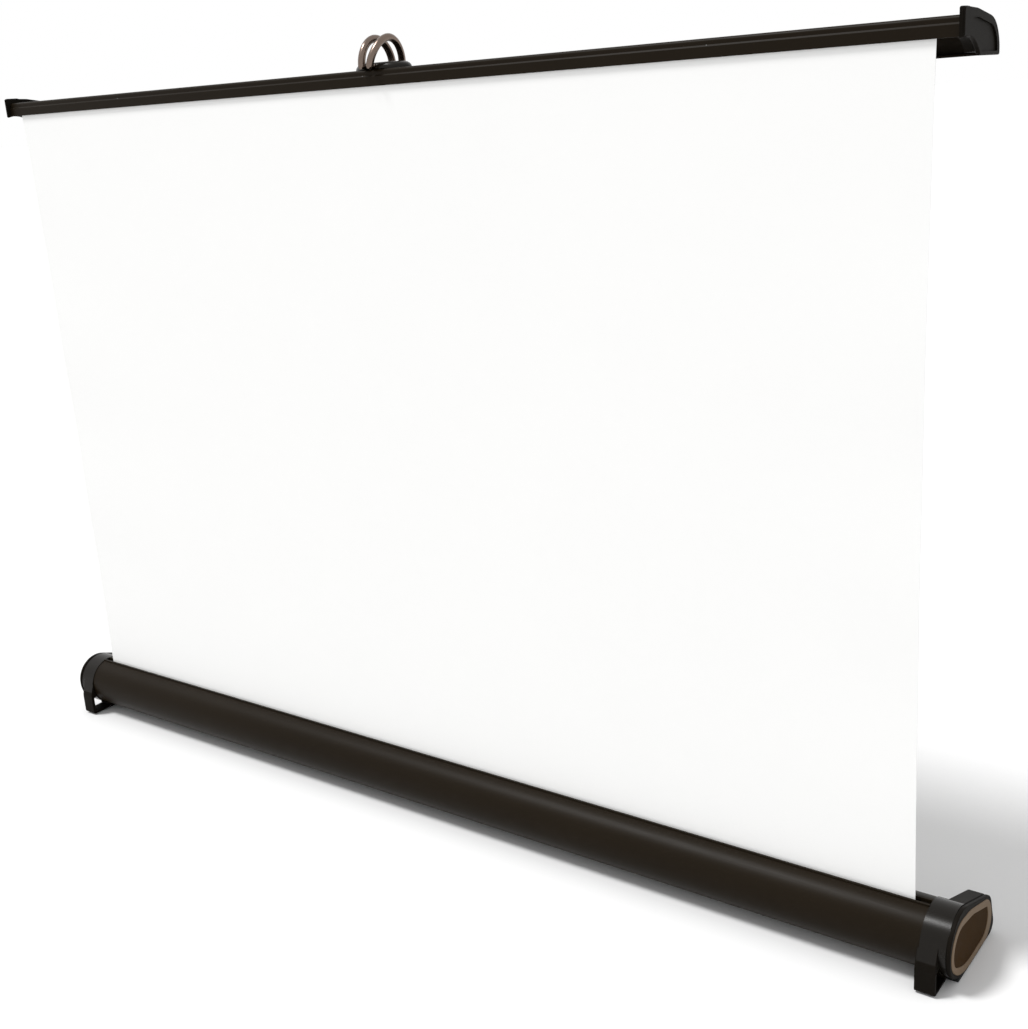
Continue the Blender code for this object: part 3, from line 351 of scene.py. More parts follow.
def new_material(name, draw, *values):
    """A material whose nodes a drawing function adds to its empty tree."""
    material = bpy.data.materials.new(name)
    material.use_nodes = True
    material.node_tree.nodes.clear()
    draw(material.node_tree, *values)
    return material


def finish(tree, base, constants, tint, roughness=None, relief=None):
    """Ends a tree in a shader with constant sockets and the patterns that vary it.

    tint is (pattern, share of the colour), roughness is (pattern, least, most) and relief is (pattern,
    strength, height).
    """
    pattern, share = tint
    dark = [channel * (1 - share) for channel in base[:3]] + [1.0]
    light = [min(1.0, channel * (1 + share)) for channel in base[:3]] + [1.0]
    mixed = add_node(tree, "Mix", {0: pattern, 6: dark, 7: light}, data_type="RGBA")
    sockets = {**constants, "Base Color": mixed.outputs[2]}
    if roughness:
        pattern, least, most = roughness
        spread = add_node(tree, "MapRange", {"Value": pattern, "To Min": least, "To Max": most})
        sockets["Roughness"] = spread.outputs[0]
    if relief:
        pattern, strength, height = relief
        bump = add_node(tree, "Bump", {"Height": pattern, "Strength": strength, "Distance": height})
        sockets["Normal"] = bump.outputs[0]
    shader = add_node(tree, "BsdfPrincipled", sockets)
    add_node(tree, "OutputMaterial", {"Surface": shader.outputs[0]})


def anodised_aluminium(tree):
    """Drawn section, dyed black: a satin sheen broken by fine lines that run along the bar."""
    at = add_node(tree, "TexCoord").outputs["Object"]
    along = add_node(tree, "Mapping", {"Vector": at, "Scale": (0.02, 1.0, 1.0)}).outputs[0]
    lines = add_node(tree, "TexNoise", {"Vector": along, "Scale": 1 / user_sizes().die_lines,
                                        "Detail": 3.0, "Roughness": 0.6}).outputs[0]
    cloudy = add_node(tree, "TexNoise", {"Vector": at, "Scale": 1 / DYE_PATCH, "Detail": 2.0}).outputs[0]
    finish(tree, user_colours().aluminium, {"IOR": 1.5, "Specular IOR Level": 0.06}, (cloudy, 0.14),
           (lines, 0.32, 0.46), (lines, 0.5, 0.00006))


def moulded_plastic(tree, gloss=0.03, least=0.44, most=0.60):
    """Injection moulded ABS: its spark-eroded mould leaves a fine matte grain."""
    at = add_node(tree, "TexCoord").outputs["Object"]
    grain = add_node(tree, "TexNoise", {"Vector": at, "Scale": 1 / user_sizes().grain,
                                        "Detail": 4.0, "Roughness": 0.55}).outputs[0]
    cloudy = add_node(tree, "TexNoise", {"Vector": at, "Scale": 1 / MOULD_PATCH, "Detail": 2.0}).outputs[0]
    finish(tree, user_colours().plastic, {"IOR": 1.53, "Specular IOR Level": gloss}, (cloudy, 0.12),
           (grain, least, most), (grain, 0.4, 0.00006))


def polished_plastic(tree):
    """The same ABS where the mould was polished: the barrels of the end caps shine."""
    moulded_plastic(tree, gloss=0.15, least=0.20, most=0.30)


def painted_trim(tree):
    """Painted plastic ring: flat lacquer with a faint fleck."""
    at = add_node(tree, "TexCoord").outputs["Object"]
    fleck = add_node(tree, "TexNoise", {"Vector": at, "Scale": 1 / FLECK, "Detail": 3.0}).outputs[0]
    finish(tree, user_colours().trim, {"IOR": 1.5, "Specular IOR Level": 0.12}, (fleck, 0.12),
           (fleck, 0.42, 0.55), (fleck, 0.4, 0.00004))


def inset_vinyl(tree):
    """Plate covered with a leather grain: small pebbles with dark creases between them."""
    at = add_node(tree, "TexCoord").outputs["Object"]
    pebbles = add_node(tree, "TexVoronoi", {"Vector": at, "Scale": 1 / PEBBLE},
                       feature="DISTANCE_TO_EDGE").outputs["Distance"]
    cloudy = add_node(tree, "TexNoise", {"Vector": at, "Scale": 1 / VINYL_PATCH, "Detail": 3.0}).outputs[0]
    finish(tree, user_colours().inset, {"IOR": 1.5, "Specular IOR Level": 0.015}, (cloudy, 0.16),
           (cloudy, 0.5, 0.62), (pebbles, 0.35, 0.0004))


def coated_cloth(tree, base):
    """Matte coated weave: two crossed sets of threads, drawn a little coarser than the real 0.4 mm."""
    at = add_node(tree, "TexCoord").outputs["UV"]
    threads = []
    for direction in ("X", "Y"):
        bands = add_node(tree, "TexWave", {"Vector": at, "Scale": math.pi / (10 * user_sizes().weave),
                                           "Distortion": 0.0}, wave_type="BANDS", bands_direction=direction)
        threads.append(bands.outputs["Fac"])
    crossed = add_node(tree, "Math", {0: threads[0], 1: threads[1]}, operation="MULTIPLY").outputs[0]
    cloudy = add_node(tree, "TexNoise", {"Vector": at, "Scale": 1 / CLOTH_PATCH, "Detail": 2.0}).outputs[0]
    finish(tree, base, {"Roughness": 0.92, "Specular IOR Level": 0.12, "Sheen Weight": 0.05,
                        "Sheen Roughness": 0.5}, (cloudy, 0.006), relief=(crossed, 0.25, 0.00004))


def moulded_rubber(tree):
    """Soft black rubber, dull, with a fine bloom."""
    at = add_node(tree, "TexCoord").outputs["Object"]
    bloom = add_node(tree, "TexNoise", {"Vector": at, "Scale": 1 / BLOOM, "Detail": 4.0}).outputs[0]
    finish(tree, user_colours().rubber, {"IOR": 1.52, "Specular IOR Level": 0.3}, (bloom, 0.2),
           (bloom, 0.7, 0.85), (bloom, 0.4, 0.0001))


def zinc_steel(tree):
    """Pressed steel with bright zinc: faint crystal patches and rolling marks."""
    at = add_node(tree, "TexCoord").outputs["Object"]
    crystals = add_node(tree, "TexVoronoi", {"Vector": at, "Scale": 1 / ZINC_CRYSTAL}).outputs["Distance"]
    marks = add_node(tree, "TexNoise", {"Vector": at, "Scale": 1 / ROLLING_MARK, "Detail": 3.0}).outputs[0]
    finish(tree, user_colours().steel, {"Metallic": 1.0}, (crystals, 0.08), (marks, 0.28, 0.42),
           (marks, 0.4, 0.00003))


def coated_steel(tree):
    """Flat steel strip under black powder coat, which dries with a slight orange peel."""
    at = add_node(tree, "TexCoord").outputs["Object"]
    peel = add_node(tree, "TexNoise", {"Vector": at, "Scale": 1 / ORANGE_PEEL, "Detail": 2.0}).outputs[0]
    finish(tree, user_colours().arms, {"IOR": 1.5, "Specular IOR Level": 0.2}, (peel, 0.1),
           (peel, 0.38, 0.5), (peel, 0.5, 0.00008))


def polished_wire(tree):
    """Round steel wire, nickel plated: bright, with soft patches where fingers have dulled it."""
    at = add_node(tree, "TexCoord").outputs["Object"]
    dulled = add_node(tree, "TexNoise", {"Vector": at, "Scale": 1 / DULLED_PATCH, "Detail": 3.0}).outputs[0]
    finish(tree, user_colours().wire, {"Metallic": 1.0}, (dulled, 0.12), (dulled, 0.16, 0.32),
           (dulled, 0.3, 0.00003))


def acetal(tree):
    """White acetal, slightly waxy."""
    at = add_node(tree, "TexCoord").outputs["Object"]
    waxy = add_node(tree, "TexNoise", {"Vector": at, "Scale": 1 / WAX, "Detail": 2.0}).outputs[0]
    finish(tree, user_colours().acetal, {"IOR": 1.48, "Specular IOR Level": 0.45, "Subsurface Weight": 0.05},
           (waxy, 0.03), (waxy, 0.35, 0.45))


# The material slots, but for the cloth's, which has a front and a back, and the polished parts of one: each
# material's name and the function that draws it
FINISHES = {
    "black_aluminium": ("anodised_aluminium", anodised_aluminium),
    "black_plastic": ("moulded_abs", moulded_plastic),
    "black_plastic_polished": ("polished_abs", polished_plastic),
    "pale_trim": ("painted_ring", painted_trim),
    "dark_inset": ("inset_vinyl", inset_vinyl),
    "rubber": ("moulded_rubber", moulded_rubber),
    "grey_steel": ("zinc_plated_steel", zinc_steel),
    "black_steel": ("powder_coated_steel", coated_steel),
    "polished_wire": ("nickel_wire", polished_wire),
    "white_plastic": ("white_acetal", acetal),
}


def finish_for(slot):
    """The material of a slot of the record, made once."""
    name, draw = FINISHES[slot]
    return bpy.data.materials.get(name) or new_material(name, draw)


# Modelling helpers

def axis_point():
    """The tube's axis in the YZ plane."""
    sizes = user_sizes()
    return Vector((PLANE + sizes.tube_setback, sizes.tube_height))


def shut_axis():
    """The barrels' axis in the YZ plane as the raised rail meets it when the screen shuts."""
    sizes = user_sizes()
    return axis_point() + Vector((0, RAIL_LIP - (sizes.tube_height + sizes.barrel_radius + RUN)))


def around(centre, radius, turn):
    """The point at an angle around a centre in the YZ plane."""
    return Vector((centre.x + radius * math.cos(turn), centre.y + radius * math.sin(turn)))


def add_object(name, data):
    """An object in the scene, at the origin."""
    item = bpy.data.objects.new(name, data)
    bpy.context.scene.collection.objects.link(item)
    return item


class Outline:
    """A closed line across the housing, drawn in a plane of constant X with straight runs and spun arcs."""

    step = math.radians(5)

    def __init__(self, shape, x):
        self.shape, self.x = shape, x
        self.first = self.last = None
        self.known = set(shape.edges)

    def to(self, y, z):
        vert = self.shape.verts.new((self.x, y, z))
        if self.last is None:
            self.first = vert
        else:
            self.shape.edges.new((self.last, vert))
        self.last = vert
        return self

    def arc(self, centre, sweep):
        """Swings the last point around a centre."""
        steps = max(2, math.ceil(abs(sweep) / self.step))
        spun = bmesh.ops.spin(self.shape, geom=[self.last], cent=(self.x, *centre), axis=(1, 0, 0),
                              angle=sweep, steps=steps, use_duplicate=False)
        self.last = next(item for item in spun["geom_last"] if isinstance(item, bmesh.types.BMVert))
        return self

    def close(self):
        """Joins the ends and gives the outline's edges."""
        self.shape.edges.new((self.last, self.first))
        edges = [edge for edge in self.shape.edges if edge not in self.known]
        verts = {vert for edge in edges for vert in edge.verts}
        bmesh.ops.remove_doubles(self.shape, verts=list(verts), dist=WELD)
        return [edge for edge in self.shape.edges if edge not in self.known]


def rounded(shape, x, corners):
    """Outline through (point, radius) corners; a radius too large for its sides shrinks."""
    points = [Vector(point) for point, radius in corners]
    count = len(points)
    halves, cuts = [], []
    for index, (point, radius) in enumerate(corners):
        before = points[index - 1] - points[index]
        after = points[(index + 1) % count] - points[index]
        halves.append(before.angle(after) / 2)
        cuts.append(radius / math.tan(halves[-1]))
    shares = [1.0] * count
    for index in range(count):
        after = (index + 1) % count
        side = (points[after] - points[index]).length
        share = side / max(cuts[index] + cuts[after], side)
        shares[index] = min(shares[index], share)
        shares[after] = min(shares[after], share)
    line = Outline(shape, x)
    for index, corner in enumerate(points):
        cut_back = cuts[index] * shares[index]
        if cut_back <= 0:
            line.to(*corner)
            continue
        before = (points[index - 1] - corner).normalized()
        after = (points[(index + 1) % count] - corner).normalized()
        radius = cut_back * math.tan(halves[index])
        centre = corner + (before + after).normalized() * radius / math.sin(halves[index])
        start = corner + before * cut_back
        spoke, end = start - centre, corner + after * cut_back - centre
        sweep = math.atan2(spoke.x * end.y - spoke.y * end.x, spoke.dot(end))
        line.to(*start).arc(centre, sweep)
    return line.close()


def fill(shape, *loops):
    """Faces inside one loop of edges, or between an outer and an inner one."""
    if len(loops) == 1:
        return bmesh.ops.contextual_create(shape, geom=loops[0])["faces"]
    return bmesh.ops.bridge_loops(shape, edges=loops[0] + loops[1])["faces"]


def run(shape, faces, depth):
    """Runs faces along X into a solid."""
    made = bmesh.ops.extrude_face_region(shape, geom=faces)
    moved = [item for item in made["geom"] if isinstance(item, bmesh.types.BMVert)]
    bmesh.ops.translate(shape, vec=(depth, 0, 0), verts=moved)
    bmesh.ops.recalc_face_normals(shape, faces=shape.faces)


def soften(shape, width, segments=3):
    """Rounds the sharp edges of a solid."""
    edges = [edge for edge in shape.edges if len(edge.link_faces) == 2 and edge.calc_face_angle() > SHARP]
    bmesh.ops.bevel(shape, geom=edges, offset=width, offset_type="OFFSET", segments=segments, profile=0.5,
                    affect="EDGES", clamp_overlap=True, material=-1)


def block(low, high, width=0.0):
    """Box between two corners, as a mesh."""
    shape = bmesh.new()
    bmesh.ops.create_cube(shape, size=1.0)
    low, high = Vector(low), Vector(high)
    bmesh.ops.scale(shape, vec=high - low, verts=shape.verts)
    bmesh.ops.translate(shape, vec=(low + high) / 2, verts=shape.verts)
    if width:
        soften(shape, width)
    return to_mesh(shape)


def rod(radius, start, end, sides, width=0.0):
    """Round bar between two points, as a mesh."""
    start, end = Vector(start), Vector(end)
    shape = bmesh.new()
    bmesh.ops.create_cone(shape, cap_ends=True, segments=sides, radius1=radius, radius2=radius,
                          depth=(end - start).length)
    if width:
        soften(shape, width)
    turn = (end - start).to_track_quat("Z", "Y").to_matrix().to_4x4()
    bmesh.ops.transform(shape, matrix=Matrix.Translation((start + end) / 2) @ turn, verts=shape.verts)
    return to_mesh(shape)


def to_mesh(shape):
    """Welds a shape, points its faces outwards and makes it a mesh."""
    bmesh.ops.remove_doubles(shape, verts=shape.verts, dist=WELD)
    bmesh.ops.recalc_face_normals(shape, faces=shape.faces)
    mesh = bpy.data.meshes.new("shape")
    shape.to_mesh(mesh)
    shape.free()
    return mesh


def section(x_start, x_end, *outlines, width=0.0):
    """Solid between two X planes from one outline, or two for a ring; an outline draws itself."""
    shape = bmesh.new()
    loops = [outline(shape, x_start) for outline in outlines]
    run(shape, fill(shape, *loops), x_end - x_start)
    if width:
        soften(shape, width)
    return to_mesh(shape)


def carved(base, *steps):
    """Joins meshes to a base mesh or cuts them out of it, in turn; steps are (operation, mesh)."""
    holder = add_object("carving", base)
    helpers = []
    for operation, mesh in steps:
        helper = add_object("helper", mesh)
        helpers.append(helper)
        step = holder.modifiers.new(operation.title(), "BOOLEAN")
        step.operation = operation
        step.solver = "EXACT"
        step.object = helper
    graph = bpy.context.evaluated_depsgraph_get()
    result = bpy.data.meshes.new_from_object(holder.evaluated_get(graph))
    for item in (holder, *helpers):
        bpy.data.objects.remove(item)
    shape = bmesh.new()
    shape.from_mesh(result)
    bmesh.ops.dissolve_degenerate(shape, dist=WELD / 2, edges=shape.edges)
    return to_mesh(shape)


def mirrored(mesh):
    """The same shape for the other end; mirroring turns it inside out, so its faces are turned back."""
    twin = mesh.copy()
    twin.transform(Matrix.Diagonal((-1, 1, 1, 1)))
    twin.flip_normals()
    return twin


def place(mesh, name, slot, body, node, sharp=35, material=None):
    """Makes a mesh a piece of the screen: its slot's finish, smooth round sides and body; hides the CAD node
    it replaces.
    """
    mesh.name = name
    mesh.shade_smooth()
    mesh.set_sharp_from_angle(angle=math.radians(sharp))
    mesh.materials.clear()
    mesh.materials.append(material or finish_for(slot))
    item = add_object(name, mesh)
    item.modifiers.new("Normals", "WEIGHTED_NORMAL").keep_sharp = True
    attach(item, body)
    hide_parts(node)
    return item


def dressed(node, slot, body, name, width=0.0, sharp=35):
    """A CAD node's own shape with its triangles merged into faces and its edges softened."""
    shape = bmesh.new()
    shape.from_mesh(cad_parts[node].data)
    bmesh.ops.remove_doubles(shape, verts=shape.verts, dist=WELD)
    bmesh.ops.dissolve_limit(shape, angle_limit=math.radians(1), verts=shape.verts, edges=shape.edges)
    if width:
        soften(shape, width, 2)
    return place(to_mesh(shape), name, slot, body, node, sharp)


# Outlines of the housing and its caps

def meeting(side_a, side_b, centre):
    """Corner where two sides meet; a side is (outward angle in degrees, distance from centre)."""
    (angle_a, far_a), (angle_b, far_b) = side_a, side_b
    a, b = math.radians(angle_a), math.radians(angle_b)
    spread = math.sin(b - a)
    y = (far_a * math.sin(b) - far_b * math.sin(a)) / spread
    z = (far_b * math.cos(a) - far_a * math.cos(b)) / spread
    return centre + Vector((y, z))


def sided(sides, growth=0.0):
    """An outline from its sides, seen along X, as a function that draws it in a plane."""
    corners = []
    for index, (angle, reach, radius) in enumerate(sides):
        after = sides[(index + 1) % len(sides)]
        corner = meeting((angle, reach + growth), (after[0], after[1] + growth), axis_point())
        corners.append((corner, radius + growth))
    return corner_outline(corners)


def corner_outline(corners):
    """An outline through (point, radius) corners, as a function that draws it in a plane."""
    return lambda shape, x: rounded(shape, x, corners)


def housing_outline(shape, x):
    """Tube with a slot between two lips, and the tray that runs back from its bottom."""
    sizes = user_sizes()
    axis = axis_point()
    outer, inner = sizes.tube_radius, sizes.tube_radius - sizes.tube_wall
    floor = axis.y - outer
    bend = (TRAY_REAR - TRAY_CORNER, floor + TRAY_CORNER)

    def angle(y, radius):
        return math.acos((y - axis.x) / radius)

    line = Outline(shape, x)
    line.to(FRONT_LIP[1], SLOT_TOP).to(FRONT_LIP[0], SLOT_TOP)
    start = angle(FRONT_LIP[0], outer)
    line.to(*around(axis, outer, start)).arc(axis, math.radians(270) - start)
    line.to(bend[0], floor).arc(bend, math.pi / 2)
    line.to(TRAY_REAR, TRAY_TOP).to(TRAY_REAR - sizes.tube_wall, TRAY_TOP)
    line.to(TRAY_REAR - sizes.tube_wall, bend[1]).arc(bend, -math.pi / 2)
    start = math.acos((outer - sizes.tube_wall) / outer) - math.pi / 2
    line.to(*around(axis, outer, start)).arc(axis, angle(REAR_LIP[1], outer) - start)
    line.to(REAR_LIP[1], SLOT_TOP).to(REAR_LIP[0], SLOT_TOP)
    start = angle(REAR_LIP[0], inner)
    line.to(*around(axis, inner, start)).arc(axis, angle(FRONT_LIP[1], inner) - start - math.tau)
    return line.close()


def rail_roof(y, inset=0.0):
    """Height of the rail's sloping roof at a depth behind the cloth's plane."""
    return RAIL_CREST - (y - RAIL_FRONT) * math.tan(RAIL_SLOPE) - inset / math.cos(RAIL_SLOPE)


def rail_corner(y, z, radius=0.0):
    """A corner at a depth behind the cloth's plane."""
    return (Vector((PLANE + y, z)), radius)


def rail_outline():
    """Hollow cover: stepped front wall, sloping roof, round back and a skirt with an inward hem."""
    front, rear = RAIL_FRONT + RAIL_INSET, RAIL_REAR - RAIL_INSET
    inner_front = -SHEET_THICKNESS / 2 - GAP
    wall = RAIL_INSET + RAIL_WALL
    skirt = RAIL_SKIRT + RAIL_HEM
    inner_rear = RAIL_REAR - wall
    crest = rail_roof(front, RAIL_INSET)
    ledge = crest - STEP_DROP
    hem = rear - RAIL_WALL - RAIL_HEM_REACH
    corners = [
        rail_corner(front, RAIL_LIP, RAIL_LIP_ROUND),
        rail_corner(front, ledge),
        rail_corner(front + STEP_DEPTH, ledge + STEP_HEIGHT),
        rail_corner(front + STEP_DEPTH, crest, RAIL_CREST_ROUND),
        rail_corner(rear, rail_roof(rear, RAIL_INSET), RAIL_ROUND - RAIL_INSET),
        rail_corner(rear, skirt, RAIL_SKIRT_ROUND),
        rail_corner(hem, skirt, RAIL_HEM_ROUND),
        rail_corner(hem, skirt + RAIL_WALL, RAIL_HEM_ROUND),
        rail_corner(inner_rear, skirt + RAIL_WALL),
        rail_corner(inner_rear, rail_roof(inner_rear, wall), RAIL_ROUND - wall),
        rail_corner(inner_front, rail_roof(inner_front, wall)),
        rail_corner(inner_front, RAIL_LIP, RAIL_LIP_INNER_ROUND),
    ]
    return corner_outline(corners)


def rail_cap_outline(saddle_radius, front, low, inset, front_low, front_round, rise=0.0):
    """The rail's end: front, roof, round back, foot and the arc that clears the barrel.

    A front that lies behind the barrel's axis has no lower corner, because the arc meets it. The rise lifts
    the roof by as much at its back, 1.4 times that at its front and 3 times that at its peak.
    """
    rear = RAIL_REAR - inset
    centre = shut_axis()
    ahead = front - (centre.x - PLANE)
    last = math.pi / 2 if ahead < 0 else math.acos(ahead / saddle_radius)
    corners = [rail_corner(front, front_low, front_round)] if ahead < 0 else []
    corners += [rail_corner(front, rail_roof(front, inset) + 1.4 * rise, 3 * front_round)]
    if rise:
        corners.append(rail_corner(CAP_PEAK, rail_roof(CAP_PEAK, inset) + 3 * rise, CAP_PEAK_ROUND))
    corners += [rail_corner(rear, rail_roof(rear, inset) + rise, RAIL_ROUND - inset),
                rail_corner(rear, low, front_round)]
    start = math.asin((low - centre.y) / saddle_radius)
    for step in range(SADDLE_STEPS + 1):
        turn = start + (last - start) * step / SADDLE_STEPS
        corners.append((around(centre, saddle_radius, turn), 0.0))
    return corner_outline(corners)


# Operators, one for each group of pieces

class SCREEN_OT_housing(bpy.types.Operator):
    """Builds the housing extrusion: slotted tube, lips and arm tray"""

    bl_idname = "projection_screen.housing"
    bl_label = "Housing"

    def execute(self, context):
        sizes = user_sizes()
        shell = section(-TUBE_END, TUBE_END, housing_outline)
        reach = sizes.tube_radius - sizes.tube_wall - PORT_RADIUS + GAP
        ports = [around(axis_point(), reach, math.radians(degrees)) for degrees in PORT_ANGLES]
        low = sizes.tube_height - sizes.tube_radius + sizes.tube_wall
        corner = PORT_RADIUS - GAP
        ports.append(Vector((TRAY_REAR - sizes.tube_wall - corner, low + corner)))
        steps = [(JOIN, rod(PORT_RADIUS, (-TUBE_END, *port), (TUBE_END, *port), 28)) for port in ports]
        steps += [(CUT, rod(PORT_BORE, (-1, *port), (1, *port), 20)) for port in ports]
        place(carved(shell, *steps), "housing_extrusion", "black_aluminium", "housing", "housing_tube")
        return {"FINISHED"}


class SCREEN_OT_end_caps(bpy.types.Operator):
    """Builds both end caps with their hooked feet, rings, inset plates and pads"""

    bl_idname = "projection_screen.end_caps"
    bl_label = "End caps"

    def cap(self, side, label):
        sizes = user_sizes()
        axis = axis_point()
        floor = axis.y - sizes.tube_radius
        foot_low = axis.y - BOTTOM_REACH + FOOT_LIFT
        front = PLANE + sizes.foot_front

        def span(start, end, *outlines, **softening):
            return section(side * start, side * end, *outlines, **softening)

        collar_low, collar_top = floor - COLLAR_MARGIN, TRAY_TOP + COLLAR_MARGIN
        collar = corner_outline([
            (Vector((axis.x, collar_low)), 0.0),
            (Vector((TRAY_REAR + COLLAR_MARGIN, collar_low)), TRAY_CORNER),
            (Vector((TRAY_REAR + COLLAR_MARGIN, collar_top)), COLLAR_CORNER),
            (Vector((axis.x, collar_top)), 0.0)])
        foot = corner_outline([
            (around(axis, sizes.barrel_radius - NUDGE, FOOT_LEAVES), 0.0),
            (Vector((front, axis.y - FOOT_BEND_DROP)), FOOT_BEND),
            (Vector((front, foot_low)), FOOT_CORNER),
            (Vector((axis.x + FOOT_ROOT, foot_low)), 0.0),
            (Vector((axis.x + FOOT_ROOT, axis.y - FOOT_ROOT_DROP)), 0.0),
            (axis, 0.0)])

        def window(shape, x):
            line = Outline(shape, x)
            wall, sill = front + WINDOW_WALL, foot_low + WINDOW_SILL
            line.to(wall, axis.y - sizes.barrel_radius * WINDOW_TOP)
            line.to(wall, sill).to(axis.x - WINDOW_REAR, sill)
            line.to(*around(axis, sizes.barrel_radius + GAP, WINDOW_START))
            line.arc(axis, WINDOW_END - WINDOW_START)
            return line.close()

        def barrel(radius, start, end, sides=96):
            return rod(radius, (side * start, *axis), (side * end, *axis), sides)

        foot_end = FOOT_START + sizes.foot_width
        lug = carved(span(FOOT_START, foot_end, foot, width=FOOT_SOFTENING),
                     (CUT, span(FOOT_START - PAST, foot_end + PAST, window)),
                     (CUT, barrel(sizes.barrel_radius + FOOT_CLEAR, FOOT_START - PAST, TUBE_END + NUDGE)))
        head = span(HEAD_OUTER - HEAD_RIM, HEAD_OUTER, sided(HEAD_SIDES), width=RIM_SOFTENING)
        neck, body = sided(HEAD_SIDES, -GROOVE_DEPTH), sided(BODY_SIDES)
        spigot = sizes.tube_radius - sizes.tube_wall - GAP
        steps = [
            (JOIN, span(HEAD_INNER + HEAD_LAP, HEAD_OUTER - HEAD_RIM + RIM_LAP, neck)),
            (JOIN, span(HEAD_INNER, BODY_END, body, width=sizes.head_softening * BODY_SOFTENING)),
            (JOIN, barrel(sizes.barrel_radius, TUBE_END, BODY_END)),
            (JOIN, span(TUBE_END + GAP, HEAD_INNER + HEAD_LAP, collar)),
            (JOIN, barrel(spigot, TUBE_END - SPIGOT_LENGTH, TUBE_END + SPIGOT_LAP, 72)),
            (JOIN, lug),
            (CUT, span(HEAD_OUTER - RING_DEPTH, HEAD_OUTER + PAST, sided(RING_SIDES, GAP))),
        ]
        for pad in ("front_pad_" + label, "rear_pad_" + label):
            low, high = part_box(pad)
            room = Vector((GAP, GAP, GAP))
            steps.append((CUT, block(low - room, high + room)))
        cap = place(carved(head, *steps), "end_cap_moulding_" + label, "black_plastic", "housing",
                    "end_cap_" + label, sharp=30)
        cap.data.materials.append(finish_for("black_plastic_polished"))
        for face in cap.data.polygons:
            out = Vector((face.center.y, face.center.z)) - axis
            on_barrel = abs(out.length - sizes.barrel_radius) < BARREL_BAND and abs(face.normal.x) < 0.1
            face.material_index = int(on_barrel and abs(face.center.x) < BODY_END)

    def trim(self, side, label):
        back, front = HEAD_OUTER - RING_DEPTH + GAP, HEAD_OUTER + RING_PROUD
        ring = section(side * back, side * front, sided(RING_SIDES), sided(PLATE_SIDES), width=RING_SOFTENING)
        place(ring, "end_ring_" + label, "pale_trim", "housing", "trim_ring_" + label)
        plate = section(side * back, side * HEAD_OUTER, sided(PLATE_SIDES, -GAP), width=PLATE_SOFTENING)
        place(plate, "end_plate_" + label, "dark_inset", "housing", "end_inset_" + label)

    def pads(self, label):
        for node in ("front_pad_" + label, "rear_pad_" + label):
            low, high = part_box(node)
            grooves = []
            for index in range(PAD_GROOVES):
                y = low.y + (high.y - low.y) * (index + 1) / (PAD_GROOVES + 1)
                start = (low.x - PAST, y - PAD_GROOVE_WIDTH / 2, low.z - PAST)
                end = (high.x + PAST, y + PAD_GROOVE_WIDTH / 2, low.z + PAD_GROOVE_DEPTH)
                grooves.append((CUT, block(start, end)))
            pad = carved(block(low, high, PAD_SOFTENING), *grooves)
            place(pad, node.replace("pad", "foot_pad"), "rubber", "housing", node, sharp=30)

    def execute(self, context):
        for side, label in SIDES:
            self.cap(side, label)
            self.trim(side, label)
            self.pads(label)
            for index in (1, 2, 3):
                node = f"cap_screw_{label}_{index}"
                dressed(node, "grey_steel", "housing", f"end_screw_{label}_{index}")
        return {"FINISHED"}


class SCREEN_OT_roller(bpy.types.Operator):
    """Builds the spring roller inside the tube and the turn of cloth on it"""

    bl_idname = "projection_screen.roller"
    bl_label = "Roller"

    def execute(self, context):
        for node, slot, body in (("roller_tube", "grey_steel", "roller"),
                                 ("roller_plug_left", "white_plastic", "roller"),
                                 ("roller_plug_right", "white_plastic", "roller"),
                                 ("spring_shaft", "grey_steel", "housing"),
                                 ("roller_spring", "black_steel", "housing"),
                                 ("roller_bearing_left", "white_plastic", "housing"),
                                 ("roller_bearing_right", "white_plastic", "housing")):
            dressed(node, slot, body, node + "_finished", sharp=40)
        low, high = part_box("fabric_wrap")
        centre = (low + high) / 2
        radius = (high.z - low.z) / 2

        def ring(radius):
            def draw(shape, x):
                line = Outline(shape, x)
                line.to(centre.y + radius, centre.z)
                line.arc((centre.y, centre.z), CLOTH_TURN)
                return line.close()
            return draw

        turn = section(low.x, high.x, ring(radius), ring(radius - SHEET_THICKNESS))
        cloth = new_material("coated_cloth_roll", coated_cloth, user_colours().cloth)
        piece = place(turn, "cloth_turn", "white_sheet", "roller", "fabric_wrap", material=cloth)
        return {"FINISHED"}


